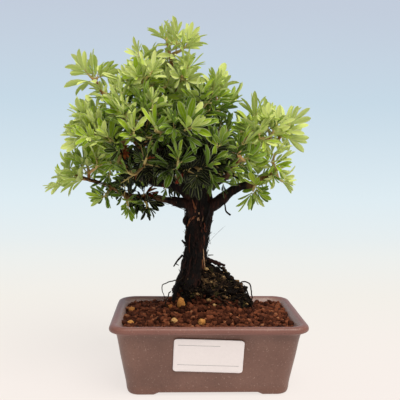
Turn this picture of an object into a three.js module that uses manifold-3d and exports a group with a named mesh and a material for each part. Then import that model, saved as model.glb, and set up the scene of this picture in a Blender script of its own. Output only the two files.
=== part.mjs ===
// Shrubby cinquefoil bonsai, informal upright style, in a rectangular stoneware pot.
// Millimetres, +Z up. The front of the tree looks along -Y, so an onlooker faces +Y.
// The plant is laid out round the middle of the pot's foot, and the whole is then centred on its own box.
import * as THREE from "three";
import Module from "manifold-3d";

const wasm = await Module();
wasm.setup();
const { Manifold, Mesh } = wasm;

// Pot
const RIM_LENGTH = 143;
const RIM_DEPTH = 99;
const POT_HEIGHT = 53;
const FOOT_HEIGHT = 1.8;
const FLOOR_TOP = 7.6;
const DRAIN_RADIUS = 6;
const DRAIN_SPACING = 32;
const FOOT_INNER_X = 37;
const FOOT_INNER_Y = 22;
const CORNER_STEPS = 4;

// Nets over the drainage holes
const NET_SIDE = 20;
const NET_HOLE = 3.8;
const NET_THICKNESS = 1.2;

// Sticker on the front of the pot
const LABEL_LENGTH = 50;
const LABEL_HEIGHT = 25.4;
const LABEL_THICKNESS = 0.4;
const LABEL_TURN = 2.1;
const LABEL_LEFT = -0.6;
const LABEL_UP = 31.4;

// Soil
const SOIL_EDGE = 47.3;
const SOIL_CROWN = 9.4;

// Tree
const GAP = 0.3;
const EYE_DISTANCE = 462.5;
const EYE_HEIGHT = 174.9;
const EYE_LEFT = -25;
const TWIG_THICK = 1;
const TWIG_THIN = 0.6;
const SPIRAL = 137.5;

// Materials
const finish = (color, roughness) => new THREE.MeshStandardMaterial({ color, roughness });
const stoneware = finish("#7a5a4e", 0.7);
const paper = finish("#f1f1ee", 0.8);
const plastic = finish("#2b2b2b", 0.6);
const clay = finish("#5a3726", 0.95);
const pumice = finish("#b9853f", 0.95);
const peat = finish("#241a12", 1);
const bark = finish("#2b1b16", 0.9);
const leaf = finish("#7f9a50", 0.6);

// A repeatable scatter between 0 and 1
function scatter(a, b) {
  const wave = Math.sin(a * 12.9898 + b * 78.233) * 43758.5453;
  return wave - Math.floor(wave);
}

// One closed body from a three.js geometry
function solid(geometry) {
  const flat = geometry.index ? geometry.toNonIndexed() : geometry;
  const place = flat.getAttribute("position");
  const known = new Map();
  const points = [];
  const corners = [];
  for (let i = 0; i < place.count; i++) {
    const point = [place.getX(i), place.getY(i), place.getZ(i)];
    const key = point.map((value) => Math.round(value * 1000)).join();
    if (!known.has(key)) {
      known.set(key, known.size);
      points.push(...point);
    }
    corners.push(known.get(key));
  }
  const faces = [];
  for (let i = 0; i < corners.length; i += 3) {
    const [a, b, c] = corners.slice(i, i + 3);
    if (a !== b && b !== c && c !== a) {
      faces.push(a, b, c);
    }
  }
  return new Manifold(
    new Mesh({
      numProp: 3,
      vertProperties: new Float32Array(points),
      triVerts: new Uint32Array(faces),
    }),
  );
}

// The largest body of a cut solid
function largest(body) {
  return body.decompose().sort((a, b) => b.volume() - a.volume())[0];
}

function joined(list) {
  return list.reduce((sum, item) => sum.add(item));
}

function box(low, high) {
  const size = high.map((value, i) => value - low[i]);
  const block = new THREE.BoxGeometry(...size);
  block.translate(...low.map((value, i) => value + size[i] / 2));
  return solid(block);
}

// A body on a rounded rectangle. Each row of the profile is the inset from the rim's outline,
// the height, the corner radius and, on a row of a top surface, how far it shrinks towards the middle.
function rectangular(profile, top) {
  const around = 4 * (CORNER_STEPS + 1);
  const lathe = new THREE.LatheGeometry(
    profile.map((row, i) => {
      const pole = i === 0 || i === profile.length - 1;
      return new THREE.Vector2(pole ? 0 : 1, row[1]);
    }),
    around,
  );
  const place = lathe.getAttribute("position");
  for (let i = 0; i < place.count; i++) {
    const step = Math.floor(i / profile.length) % around;
    const row = i % profile.length;
    const [inset, height, radius, shrink = 1] = profile[row];
    const corner = Math.floor(step / (CORNER_STEPS + 1));
    const turn = ((step % (CORNER_STEPS + 1)) / CORNER_STEPS + corner - 1) * (Math.PI / 2);
    const signX = corner < 2 ? 1 : -1;
    const signY = corner === 1 || corner === 2 ? 1 : -1;
    const pole = row === 0 || row === profile.length - 1;
    let x = signX * (RIM_LENGTH / 2 - inset - radius) + radius * Math.cos(turn);
    let y = signY * (RIM_DEPTH / 2 - inset - radius) + radius * Math.sin(turn);
    x = pole ? 0 : x * shrink;
    y = pole ? 0 : y * shrink;
    const isTop = top && (shrink < 1 || row === profile.length - 1);
    place.setXYZ(i, x, y, isTop ? top(x, y) : height);
  }
  return solid(lathe);
}

// A tapering round limb through the given points, with a radius at each point. Its ends are flat.
function limb(points, radii, sides, steps, extra, swell) {
  const curve = new THREE.CatmullRomCurve3(points.map((p) => new THREE.Vector3(...p)));
  const tube = new THREE.CylinderGeometry(1, 1, 1, sides, steps);
  const rings = [];
  const normal = new THREE.Vector3(1, 0.2, 0);
  if (Math.abs(curve.getTangent(0).dot(normal)) > 0.8) {
    normal.set(0, 1, 0.1);
  }
  for (let i = 0; i <= steps; i++) {
    const t = i / steps;
    const along = curve.getTangent(t);
    normal.addScaledVector(along, -normal.dot(along)).normalize();
    const side = new THREE.Vector3().crossVectors(normal, along);
    const spot = t * (radii.length - 1);
    const k = Math.min(Math.floor(spot), radii.length - 2);
    const radius = THREE.MathUtils.lerp(radii[k], radii[k + 1], spot - k);
    const centre = curve.getPoint(t);
    if (i === 0) {
      centre.addScaledVector(along, -extra);
    }
    if (i === steps) {
      centre.addScaledVector(along, extra);
    }
    rings.push({ centre, normal: normal.clone(), side, radius });
  }
  const place = tube.getAttribute("position");
  for (let i = 0; i < place.count; i++) {
    const ring = rings[Math.round((place.getY(i) + 0.5) * steps)];
    const x = place.getX(i);
    const z = place.getZ(i);
    const t = place.getY(i) + 0.5;
    const grown = swell ? 1 + swell(Math.atan2(z, x), t) : 1;
    const radius = ring.radius * grown + extra;
    const point = ring.centre
      .clone()
      .addScaledVector(ring.normal, x * radius)
      .addScaledVector(ring.side, z * radius);
    place.setXYZ(i, point.x, point.y, point.z);
  }
  return solid(tube);
}

// Pot: floor, tapering walls, a rounded lip, four low corner feet and two drainage holes
const potWall = rectangular([
  [0, 0, 0],
  [15.5, 0, 7],
  [12.9, 1.2, 8.5],
  [11.8, 4.5, 9.5],
  [4, 47.2, 11.6],
  [1.1, 48.2, 12],
  [0, 50, 12.5],
  [0.7, 52.1, 12.2],
  [2.7, POT_HEIGHT, 11.5],
  [5.2, 52.5, 10.5],
  [7.2, 50, 10],
  [8.6, 46, 9.5],
  [15.5, 10, 8],
  [18.5, FLOOR_TOP, 6],
  [0, FLOOR_TOP, 0],
]);
const recess = box([-80, -FOOT_INNER_Y, -1], [80, FOOT_INNER_Y, FOOT_HEIGHT])
  .add(box([-FOOT_INNER_X, -60, -1], [FOOT_INNER_X, 60, FOOT_HEIGHT]));
function drain(side) {
  const hole = new THREE.CylinderGeometry(DRAIN_RADIUS, DRAIN_RADIUS, 12, 16);
  hole.rotateX(Math.PI / 2);
  hole.translate(side * DRAIN_SPACING, 0, 5);
  return solid(hole);
}
const pot = potWall.subtract(recess).subtract(drain(-1)).subtract(drain(1));

// Nets that keep the soil out of the drainage holes
function net(side) {
  const half = NET_SIDE / 2;
  const middle = side * DRAIN_SPACING;
  const low = FLOOR_TOP + GAP;
  const pitch = NET_HOLE + (NET_SIDE - 3 * NET_HOLE) / 4;
  let sheet = box([middle - half, -half, low], [middle + half, half, low + NET_THICKNESS]);
  for (const column of [-1, 0, 1]) {
    for (const row of [-1, 0, 1]) {
      const x = middle + column * pitch;
      const y = row * pitch;
      const h = NET_HOLE / 2;
      sheet = sheet.subtract(box([x - h, y - h, low - 1], [x + h, y + h, low + NET_THICKNESS + 1]));
    }
  }
  return sheet;
}

// Wood: trunk, limbs and surface roots are one grown piece
const TRUNK = [
  [-11, 16, 52],
  [-11, 15.5, 72],
  [-9.8, 15, 84],
  [-7.9, 14, 100],
  [-7.4, 13.5, 110],
  [-7, 13, 121],
  [-6, 12, 132],
  [-7, 12, 150],
];
const TRUNK_RADII = [12, 10.6, 9.2, 8.5, 9, 10.1, 11.2, 6.8];
const LIMBS = [
  // leader and its forks
  [[[-6, 12, 134], [-8, 12, 152], [-14, 13, 172], [-20, 14, 194],
    [-25, 12, 212], [-28, 8, 228], [-28.5, 6, 242]],
    [8.5, 6.8, 5, 3.6, 2.4, 1.7, 1.1], 8],
  [[[-13, 13, 164], [-28, 12, 174], [-45, 10, 185], [-62, 8, 198],
    [-70, 6, 206], [-80, 4, 218], [-86, 2, 229]],
    [4.4, 3.4, 2.7, 2.1, 1.7, 1.4, 1.1], 6],
  [[[-38, 11, 180], [-47, 8, 196], [-50, 6, 210], [-49, 6, 228]],
    [2.4, 1.8, 1.4, 1], 5],
  [[[-17, 13, 180], [-24, 8, 196], [-27, 4, 210], [-25, 0, 221], [-21, -4, 231]],
    [3, 2.2, 1.7, 1.3, 1], 5],
  [[[-10, 12, 160], [-4, 6, 186], [0, 0, 202], [4, -2, 211]],
    [3.4, 2.4, 1.7, 1.1], 5],
  // left side
  [[[-9, 11, 139], [-19, 10.5, 147.5], [-31, 9.5, 152], [-46, 8, 153.8],
    [-62, 6, 163], [-77, 4, 175.5], [-88, 2, 186]],
    [6, 4.8, 4.1, 3.6, 2.2, 1.6, 1.1], 6],
  [[[-8, 11, 133], [-23, 9, 136.6], [-31, 8, 138.2], [-41.5, 6, 140.6], [-49, 4, 141.1],
    [-60, 2, 142], [-67, 0, 144.7], [-76, -2, 149.3], [-92, -3, 154.5], [-101, -2, 157]],
    [6, 3.5, 2.9, 2.5, 2.2, 2, 1.4, 1.1, 0.95, 0.8], 6],
  // right side
  [[[-4, 11, 131], [7, 9, 136], [16, 7, 143.4], [25, 5, 149],
    [33, 4, 151], [42, 3, 155.4], [51.4, 1, 161.8], [61, 0, 167]],
    [6.5, 4.8, 3.9, 3.2, 2.6, 2, 1.5, 1], 6],
  [[[-8, 12, 154], [6, 8, 166], [20, 4, 176], [34, 3, 180], [44, 2, 182], [54, 4, 186]],
    [3, 1.8, 1.5, 1.3, 1.1, 0.9], 5],
  [[[6, 8, 166], [14, -4, 173], [22, -10, 181], [32, -8, 190]],
    [1.9, 1.5, 1.3, 1], 5],
  // towards the front
  [[[-7, 10, 148], [-12, -8, 160], [-20, -18, 172], [-25, -20, 177], [-20, -32, 185]],
    [4.4, 3.2, 2.2, 1.6, 1.1], 5],
  [[[-12, 10, 156], [-28, -4, 164], [-44, -16, 174], [-56, -24, 184]],
    [3.6, 2.8, 2, 1.2], 5],
  [[[-5, 8, 146], [8, -8, 154], [16, -20, 162], [20, -30, 170]],
    [3.6, 2.6, 1.9, 1.1], 5],
  // towards the back
  [[[-7, 14, 142], [-12, 36, 160], [-18, 54, 180], [-24, 60, 200]],
    [4.4, 3.2, 2.2, 1.2], 5],
  [[[-12, 14, 160], [-34, 30, 174], [-56, 42, 188], [-70, 42, 204]],
    [3.6, 2.8, 2, 1.1], 5],
  [[[-6, 14, 148], [14, 30, 162], [30, 40, 178], [38, 38, 194]],
    [3.6, 2.8, 2, 1.1], 5],
];
const ROOTS = [
  [[[-8, 14, 93], [-1, 14, 90.4], [5, 14.5, 89.2], [10, 15, 87.3], [15, 15.5, 85.2]],
    [4.6, 2.8, 1.6, 1.2, 0.9]],
  [[[-14, 15, 82], [-21, 15, 70], [-24, 14, 60], [-26, 13, 48]],
    [5.5, 4, 2.8, 1.8]],
  [[[-8, 22, 84], [-5, 31, 68], [-2, 35, 56], [-1, 36, 48]],
    [5, 3.4, 2.4, 1.8]],
];
function gnarl(turn, t) {
  return 0.08 * Math.sin(3 * turn + 9 * t) + 0.05 * Math.sin(5 * turn - 14 * t + 1);
}
function wood(extra) {
  const pieces = [limb(TRUNK, TRUNK_RADII, 11, 11, extra, gnarl)];
  for (const [points, radii, sides] of LIMBS) {
    pieces.push(limb(points, radii, sides, points.length + 1, extra));
  }
  for (const [points, radii] of ROOTS) {
    pieces.push(limb(points, radii, 6, points.length + 1, extra));
  }
  return joined(pieces);
}
const trunk = wood(0);
const trunkRoom = wood(GAP);

// Mound of matted roots and old soil, that the trunk stands in
function mound(extra) {
  const ball = new THREE.IcosahedronGeometry(1, 3);
  const place = ball.getAttribute("position");
  for (let i = 0; i < place.count; i++) {
    const x = place.getX(i);
    const y = place.getY(i);
    const z = place.getZ(i);
    const lump = 1 + 0.05 * Math.sin(7 * x + 3 * z) + 0.05 * Math.sin(8 * y - 5 * x + 2) + 0.03 * Math.sin(15 * z);
    const pull = lump * (Math.abs(x) ** 1.5 + Math.abs(y) ** 1.5 + Math.abs(z) ** 1.5) ** (-2 / 3);
    place.setXYZ(
      i,
      4 + x * (33 * pull + extra),
      17.5 + y * (19 * pull + extra),
      50 + z * ((z > 0 ? 36 : 33) * pull + extra),
    );
  }
  return solid(ball);
}
const rootBall = largest(mound(0).subtract(trunkRoom));

// Soil: fills the pot to just under the rim, and rises a little towards the tree
function soilTop(x, y) {
  const rise = SOIL_CROWN * Math.exp(-(((x + 4) / 36) ** 2) - ((y - 8) / 26) ** 2);
  const grain = 0.45 * Math.sin(0.9 * x + 0.7 * y) + 0.35 * Math.sin(1.3 * y - 0.6 * x + 1);
  return SOIL_EDGE + rise + grain;
}
const soilRings = [0.95, 0.8, 0.62, 0.42, 0.2];
const soilFill = rectangular(
  [
    [0, FLOOR_TOP + GAP, 0],
    [18.9, FLOOR_TOP + GAP, 5.6],
    [15.9, 10.2, 7.6],
    [8.95, 46, 9.2],
    [8.6, 47, 9.2],
    ...soilRings.map((shrink) => [8.6, 0, 9.2, shrink]),
    [0, 0, 0],
  ],
  soilTop,
);
const netRoom = (side) =>
  box(
    [side * DRAIN_SPACING - NET_SIDE / 2 - GAP, -NET_SIDE / 2 - GAP, FLOOR_TOP],
    [side * DRAIN_SPACING + NET_SIDE / 2 + GAP, NET_SIDE / 2 + GAP, FLOOR_TOP + NET_THICKNESS + 2 * GAP],
  );
const soil = largest(
  soilFill.subtract(mound(GAP)).subtract(trunkRoom).subtract(netRoom(-1)).subtract(netRoom(1)),
);

// Loose grains of pumice on the soil: across, depth, length, width and height
const GRAINS = [
  [-59, 13, 5.8, 5, 5],
  [-57.5, -19, 5.8, 5, 4.4],
  [-19.8, 1.5, 6.2, 6, 8.6],
  [-28, 5, 4, 4, 4.6],
  [-25.2, -21.5, 6, 5, 4.4],
  [-4.7, -23.5, 6, 5.5, 5.2],
];
const pumices = GRAINS.map(([x, y, length, width, height], i) => {
  const grain = new THREE.IcosahedronGeometry(1, 1);
  const place = grain.getAttribute("position");
  for (let k = 0; k < place.count; k++) {
    const [a, b, c] = [place.getX(k), place.getY(k), place.getZ(k)];
    const lump = 1 + 0.12 * Math.sin(5 * a + 4 * b - 3 * c + 2 * i);
    place.setXYZ(k, (a * lump * length) / 2, (b * lump * width) / 2, (c * lump * height) / 2);
  }
  grain.rotateZ(i * 1.1);
  grain.translate(x, y, soilTop(x, y) + height * 0.32);
  return solid(grain);
});
const pumiceRooms = joined(
  GRAINS.map(([x, y, length, width, height], i) => {
    const grain = new THREE.IcosahedronGeometry(1, 1);
    grain.scale(length * 0.56 + GAP, width * 0.56 + GAP, height * 0.56 + GAP);
    grain.rotateZ(i * 1.1);
    grain.translate(x, y, soilTop(x, y) + height * 0.32);
    return solid(grain);
  }),
);
const bed = soil.subtract(pumiceRooms);

// Blank paper sticker on the sloping front wall
const sticker = new THREE.Shape();
const halfLength = LABEL_LENGTH / 2;
const halfHeight = LABEL_HEIGHT / 2;
for (let i = 0; i < 16; i++) {
  const corner = Math.floor(i / 4);
  const turn = (corner + (i % 4) / 3) * (Math.PI / 2);
  const signX = corner === 0 || corner === 3 ? 1 : -1;
  const signY = corner < 2 ? 1 : -1;
  const x = signX * (halfLength - 2) + 2 * Math.cos(turn);
  const y = signY * (halfHeight - 2) + 2 * Math.sin(turn);
  if (i === 0) {
    sticker.moveTo(x, y);
  } else {
    sticker.lineTo(x, y);
  }
}
const labelSheet = new THREE.ExtrudeGeometry(sticker, { depth: LABEL_THICKNESS, bevelEnabled: false });
const wallLean = Math.atan2(11.8 - 4, 47.2 - 4.5);
const wallFront = -(RIM_DEPTH / 2 - 4 - (47.2 - LABEL_UP) * Math.tan(wallLean));
labelSheet.rotateZ(THREE.MathUtils.degToRad(-LABEL_TURN));
labelSheet.translate(0, 0, GAP);
labelSheet.rotateX(Math.PI / 2 + wallLean);
labelSheet.translate(LABEL_LEFT, wallFront, LABEL_UP);
const label = solid(labelSheet);

// Leafy shoots. Each shoot is one grown twig with one or more leafy ends. Each end is given by its place
// as the onlooker sees it, across and up in the plane through the pot's middle, then how far behind that
// plane it is, the way it grows (0 is right, 90 is up), how far it leans back, and the length of its leaves.
const SHOOTS = {
  top: [
    [[-33, 262, 6, 98, 0, 14], [-18, 255, -4, 52, -8, 17], [-30, 242, 8, 120, 5, 15]],
    [[-17, 239, -8, 62, -8, 16], [-19, 230, -14, 18, -12, 15]],
    [[-44, 243, 6, 92, 0, 14]],
    [[-62, 228, -6, 120, -8, 15], [-51, 231, -16, 100, -15, 14]],
    [[-44, 234, -22, 38, -15, 15], [-31, 227, -8, 78, -10, 14]],
    [[-39, 217, -6, 95, 0, 14], [-25, 217, 0, 60, 5, 14]],
  ],
  left: [
    [[-91, 233, 2, 128, 0, 17], [-84, 231, 6, 66, 5, 16]],
    [[-80, 220, 4, 165, 10, 12]],
    [[-93, 200, -6, 140, -8, 16], [-87, 197, 8, 92, 8, 15]],
    [[-95, 191, 2, 182, 0, 16], [-84, 193, -18, 118, -15, 14]],
    [[-95, 185, -10, 178, -8, 16], [-78, 184, -26, 138, -18, 14]],
    [[-100, 154, -2, 192, 0, 17], [-105, 161, 6, 104, 5, 14]],
    [[-94, 167, 2, 140, 0, 14], [-85, 169, -16, 110, -12, 13]],
  ],
  low: [
    [[-79, 141, -6, 226, -8, 12.5]],
    [[-61, 134, -10, 277, -5, 12], [-54, 134, 2, 262, 5, 12]],
    [[-46, 134, -8, 295, -8, 12]],
    [[-13, 149, -26, 282, -18, 11], [1, 156, -34, 268, -8, 14], [-32, 149, -16, 255, -10, 11]],
  ],
  front: [
    [[-14, 195, -44, 64, -18, 18], [-16, 193, -50, 14, -18, 17]],
    [[-7, 214, -24, 84, -10, 16], [3, 223, -12, 100, -5, 15]],
    [[-29, 194, -46, 98, -18, 15], [-39, 193, -50, 25, -12, 16]],
    [[-57, 190, -42, 102, -18, 15], [-63, 201, -34, 120, -12, 15]],
    [[-23, 169, -52, 82, -20, 15], [-28, 165, -46, 172, -15, 14]],
    [[1, 166, -48, 40, -12, 17], [9, 181, -40, 66, -12, 16], [15, 163, -30, 340, -10, 13]],
    [[-43, 211, -34, 94, -12, 15], [-37, 205, -28, 66, -10, 14]],
    [[-75, 184, -28, 126, -12, 15], [-70, 169, -30, 100, -15, 14]],
    [[-67, 213, -22, 118, -10, 15], [-54, 217, -12, 78, -5, 14]],
    [[-61, 160, -34, 132, -15, 14], [-47, 171, -44, 70, -20, 14]],
  ],
  right: [
    [[6, 224, -4, 90, -5, 17], [15, 214, 4, 12, 3, 14]],
    [[36, 202, -6, 92, -5, 17], [45, 200, 2, 72, 0, 17]],
    [[60, 196, 0, 50, 0, 17], [59, 188, 8, 8, 3, 15]],
    [[51, 195, -12, 62, -8, 16], [39, 190, -18, 58, -10, 16]],
    [[52, 175, -6, 42, -5, 14], [57, 154, 0, 345, 0, 12.5]],
    [[35, 146, 0, 295, 0, 16], [41, 157, 6, 328, 3, 12]],
    [[26, 182, -26, 66, -12, 16], [30, 170, -22, 28, -10, 15]],
  ],
  inner: [
    [[-45, 184, 8, 100, 15, 14], [-67, 192, 18, 130, 15, 14], [-25, 200, 14, 80, 15, 14]],
    [[-2, 192, 22, 60, 15, 14], [14, 193, 10, 66, 10, 14], [11, 153, -10, 285, -5, 13]],
  ],
  back: [
    [[-37, 235, 36, 98, 20, 15], [-21, 225, 44, 70, 25, 14]],
    [[-66, 220, 34, 122, 20, 15], [-51, 205, 48, 100, 25, 14]],
    [[-87, 205, 32, 145, 20, 15], [-76, 187, 50, 150, 30, 14]],
    [[-84, 178, 34, 165, 20, 14], [-79, 161, 48, 195, 30, 14]],
    [[-63, 153, 32, 225, 25, 14], [-47, 157, 44, 250, 30, 13]],
    [[-4, 215, 32, 76, 20, 15], [5, 199, 46, 55, 30, 14]],
    [[25, 192, 33, 64, 20, 15], [35, 181, 46, 30, 30, 14]],
    [[30, 170, 30, 15, 20, 15], [21, 158, 44, 320, 30, 14]],
    [[-28, 207, 62, 92, 35, 15], [-48, 192, 64, 115, 35, 14], [-10, 177, 70, 70, 40, 14]],
    [[-34, 172, 76, 100, 45, 15], [-60, 169, 64, 150, 40, 14], [-14, 154, 60, 300, 35, 14]],
  ],
};

// A place on the onlooker's sight line, at its own depth
function seen(across, up, depth) {
  const scale = (EYE_DISTANCE + depth) / EYE_DISTANCE;
  return new THREE.Vector3(
    EYE_LEFT + (across - EYE_LEFT) * scale,
    depth,
    EYE_HEIGHT + (up - EYE_HEIGHT) * scale,
  );
}

function heading(turn, lean) {
  const t = THREE.MathUtils.degToRad(turn);
  const l = THREE.MathUtils.degToRad(lean);
  return new THREE.Vector3(Math.cos(l) * Math.cos(t), Math.sin(l), Math.cos(l) * Math.sin(t));
}

// Places on the limbs where a shoot may start
const buds = LIMBS.flatMap(([points]) => {
  const curve = new THREE.CatmullRomCurve3(points.map((p) => new THREE.Vector3(...p)));
  return curve.getPoints(24).slice(5);
});

// The bud that a shoot grows from: near, and behind the way it grows
function budsFor(end, way) {
  return buds
    .map((bud) => {
      const reach = end.clone().sub(bud);
      const length = reach.length();
      const bend = reach.dot(way) / length;
      return [bud, length < 9 ? 999 : length * (1.7 - bend)];
    })
    .sort((a, b) => a[1] - b[1])
    .map(([bud]) => bud);
}

function twig(start, end, way, bow, extra) {
  const reach = start.distanceTo(end);
  const curve = new THREE.CubicBezierCurve3(
    start,
    start.clone().lerp(end, 0.35).add(bow),
    end.clone().addScaledVector(way, -0.35 * reach),
    end,
  );
  return {
    curve,
    body: limb(
      curve.getPoints(4).map((p) => p.toArray()),
      [TWIG_THICK, TWIG_THICK, 0.85, 0.7, TWIG_THIN],
      4,
      4,
      extra,
    ),
  };
}

// One compound leaf as a three-fingered blade: it starts at the twig and points along its heading
const BLADE = [
  [-0.03, 0, 0],
  [0.6, -0.44, 0.1],
  [0.55, -0.13, 0.02],
  [1, 0, 0.1],
  [0.55, 0.13, 0.02],
  [0.6, 0.44, 0.1],
];
function blade(start, way, face, length, extra) {
  const normal = face.clone().addScaledVector(way, -face.dot(way)).normalize();
  const side = new THREE.Vector3().crossVectors(normal, way);
  const at = (along, across, up) =>
    start
      .clone()
      .addScaledVector(way, along * length)
      .addScaledVector(side, across * length)
      .addScaledVector(normal, up * length);
  const rim = BLADE.map(([along, across, up]) => {
    const grow = along < 0 ? 1 : 1 + extra / 10;
    return at(along * grow, across * grow, up);
  });
  const topPoint = at(0.36, 0, 0.02).addScaledVector(normal, 0.55 + extra);
  const lowPoint = at(0.36, 0, 0.02).addScaledVector(normal, -0.55 - extra);
  const corners = [];
  rim.forEach((point, i) => {
    const next = rim[(i + 1) % rim.length];
    corners.push(point, next, topPoint);
    corners.push(next, point, lowPoint);
  });
  return solid(new THREE.BufferGeometry().setFromPoints(corners));
}

// Way of leaf number i round the end of a shoot
function leafWay(way, i, count, seed, turnMore) {
  const side = new THREE.Vector3(0.3, 0.5, 1).cross(way).normalize();
  const other = new THREE.Vector3().crossVectors(way, side);
  const round = THREE.MathUtils.degToRad(i * SPIRAL + 360 * scatter(seed, 1) + turnMore);
  const open = THREE.MathUtils.degToRad(24 + (46 * (count - 1 - i)) / Math.max(count - 1, 1));
  return way
    .clone()
    .multiplyScalar(Math.cos(open))
    .addScaledVector(side, Math.sin(open) * Math.cos(round))
    .addScaledVector(other, Math.sin(open) * Math.sin(round))
    .normalize();
}

const LEAVES = 3;
const placed = [trunkRoom, rootBall];
const touches = (body, list) => list.some((other) => !other.intersect(body).isEmpty());

// First all the twigs, each clear of the others
const shoots = [];
for (const [zone, list] of Object.entries(SHOOTS)) {
  list.forEach((ends, number) => {
    const seed = shoots.length + 1;
    const stems = [];
    const rooms = [];
    const tips = [];
    ends.forEach(([across, up, depth, turn, lean, length], k) => {
      const end = seen(across, up, depth);
      const way = heading(turn, lean);
      const starts = k === 0 ? budsFor(end, way) : stems[0].curve.getPoints(10).slice(3, 8);
      let made;
      for (let attempt = 0; attempt < 24 && !made; attempt++) {
        const start = starts[Math.floor(attempt / 3) % starts.length];
        const swing = (attempt % 3) * 2.1 + seed;
        const bow = new THREE.Vector3(Math.cos(swing), Math.sin(swing), 0.6).multiplyScalar(1 + attempt / 3);
        const room = twig(start, end, way, bow, GAP).body;
        if (!touches(room, shoots.flatMap((other) => other.rooms))) {
          made = twig(start, end, way, bow, 0);
          rooms.push(room);
        }
      }
      if (made) {
        stems.push(made);
        tips.push({ end, way, length });
      } else {
        console.error("no room for an end of " + zone + " " + (number + 1));
      }
    });
    shoots.push({ name: `shoot_${zone}_${number + 1}`, seed, stems, rooms, tips, blades: [] });
  });
}

// Then the leaves, each turned until it is clear of every other shoot
for (const shoot of shoots) {
  const others = shoots.filter((other) => other !== shoot);
  const busy = [...others.flatMap((other) => [...other.rooms, ...other.blades]), ...placed];
  shoot.tips.forEach(({ end, way, length }, k) => {
    for (let i = 0; i < LEAVES; i++) {
      for (let attempt = 0; attempt < 9; attempt++) {
        const more = [0, 25, -25, 50, -50, 75, -75, 100, 180][attempt];
        const out = leafWay(way, i, LEAVES, shoot.seed + 7 * k, more);
        const face = new THREE.Vector3(0, -0.25, 0.5).addScaledVector(way, 0.9);
        const outward = out.clone().addScaledVector(way, -out.dot(way)).normalize();
        const start = end
          .clone()
          .addScaledVector(way, -2.4 * (LEAVES - 1 - i) - 0.4)
          .addScaledVector(outward, 0.35);
        const size = length * (0.85 + 0.2 * scatter(shoot.seed, i + 3 * k));
        if (!touches(blade(start, out, face, size, 0.3), busy)) {
          shoot.blades.push(blade(start, out, face, size, 0));
          break;
        }
      }
    }
  });
}

const tree = new THREE.Group();
function shapeOf(body) {
  const mesh = body.getMesh();
  const count = mesh.numProp;
  const points = [];
  for (const index of mesh.triVerts) {
    points.push(...mesh.vertProperties.subarray(index * count, index * count + 3));
  }
  const shape = new THREE.BufferGeometry();
  shape.setAttribute("position", new THREE.Float32BufferAttribute(points, 3));
  shape.computeVertexNormals();
  return shape;
}
function piece(name, body, material) {
  const item = new THREE.Mesh(shapeOf(largest(solid(shapeOf(body)))), material);
  item.name = name;
  tree.add(item);
}

piece("pot", pot, stoneware);
piece("drain_mesh_left", net(-1), plastic);
piece("drain_mesh_right", net(1), plastic);
piece("soil", bed, clay);
pumices.forEach((body, i) => piece(`pumice_${i + 1}`, body, pumice));
piece("root_ball", rootBall, peat);
piece("trunk", trunk, bark);
piece("plant_label", label, paper);
for (const shoot of shoots) {
  const grown = joined([...shoot.stems.map((stem) => stem.body), ...shoot.blades]);
  piece(shoot.name, largest(grown.subtract(trunkRoom)), leaf);
}

// Centre the whole on its own box, with the pot's feet on the ground
const bounds = new THREE.Box3().setFromObject(tree);
const middle = bounds.getCenter(new THREE.Vector3());
tree.position.set(-middle.x, -middle.y, -bounds.min.z);

export default tree;
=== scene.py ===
"""Shrubby cinquefoil bonsai in a brown stoneware pot: the looks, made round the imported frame.

Lengths are in millimetres about the middle of the pot's foot, the way the tree was laid out, and
become metres in the shared frame when a mesh is made.
"""
import math

import bpy
import numpy as np
from mathutils import Matrix, Vector


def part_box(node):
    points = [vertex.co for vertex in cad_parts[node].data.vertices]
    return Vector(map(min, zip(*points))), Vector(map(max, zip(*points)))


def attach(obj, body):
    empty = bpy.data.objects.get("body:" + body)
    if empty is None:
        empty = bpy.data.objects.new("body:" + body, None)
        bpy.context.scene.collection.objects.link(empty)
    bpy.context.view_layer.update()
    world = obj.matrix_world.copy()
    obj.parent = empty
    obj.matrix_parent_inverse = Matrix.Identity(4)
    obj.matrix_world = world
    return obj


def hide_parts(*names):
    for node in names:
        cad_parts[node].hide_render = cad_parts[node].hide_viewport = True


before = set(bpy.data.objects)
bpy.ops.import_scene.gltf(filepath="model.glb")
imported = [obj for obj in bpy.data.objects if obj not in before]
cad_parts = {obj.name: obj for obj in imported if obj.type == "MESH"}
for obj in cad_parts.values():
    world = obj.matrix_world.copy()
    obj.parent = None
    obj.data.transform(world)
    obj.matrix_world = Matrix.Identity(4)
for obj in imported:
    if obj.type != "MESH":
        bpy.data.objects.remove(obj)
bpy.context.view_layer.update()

pot_low, pot_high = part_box("pot")
MIDDLE = np.array([(pot_low[0] + pot_high[0]) * 500, (pot_low[1] + pot_high[1]) * 500, 0.0])
scene = bpy.context.scene


# Numbers and shapes

def scatter(a, b):
    """A repeatable number from 0 to 1: the fraction of a large sine of a and b."""
    wave = np.sin(np.asarray(a, float) * 12.9898 + np.asarray(b, float) * 78.233) * 43758.5453
    return wave - np.floor(wave)


def cloud(points, size, seed=0):
    """Smooth noise from -1 to 1 at points (n, 3), eased between the corners of cubes of that size."""
    spot = np.asarray(points, float) / size + seed * 17.31
    cell = np.floor(spot).astype(np.int64)
    part = spot - cell
    part = part * part * (3 - 2 * part)
    total = 0
    for corner in np.ndindex(2, 2, 2):
        at = cell + np.array(corner)
        n = (at[..., 0] * 374761393 + at[..., 1] * 668265263 + at[..., 2] * 1440662683) & 0xFFFFFFFF
        n = ((n ^ (n >> 13)) * 1274126177) & 0xFFFFFFFF
        value = ((n ^ (n >> 16)) & 0xFFFF) / 32767.5 - 1
        share = np.prod(np.where(np.array(corner) == 1, part, 1 - part), axis=-1)
        total = total + share * value
    return total


def bumps(points, size, seed=0, layers=3):
    """Noise of several layers, each half the size and half the height of the last."""
    return sum(cloud(points, size / 2 ** k, seed + k) / 2 ** k for k in range(layers))


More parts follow.
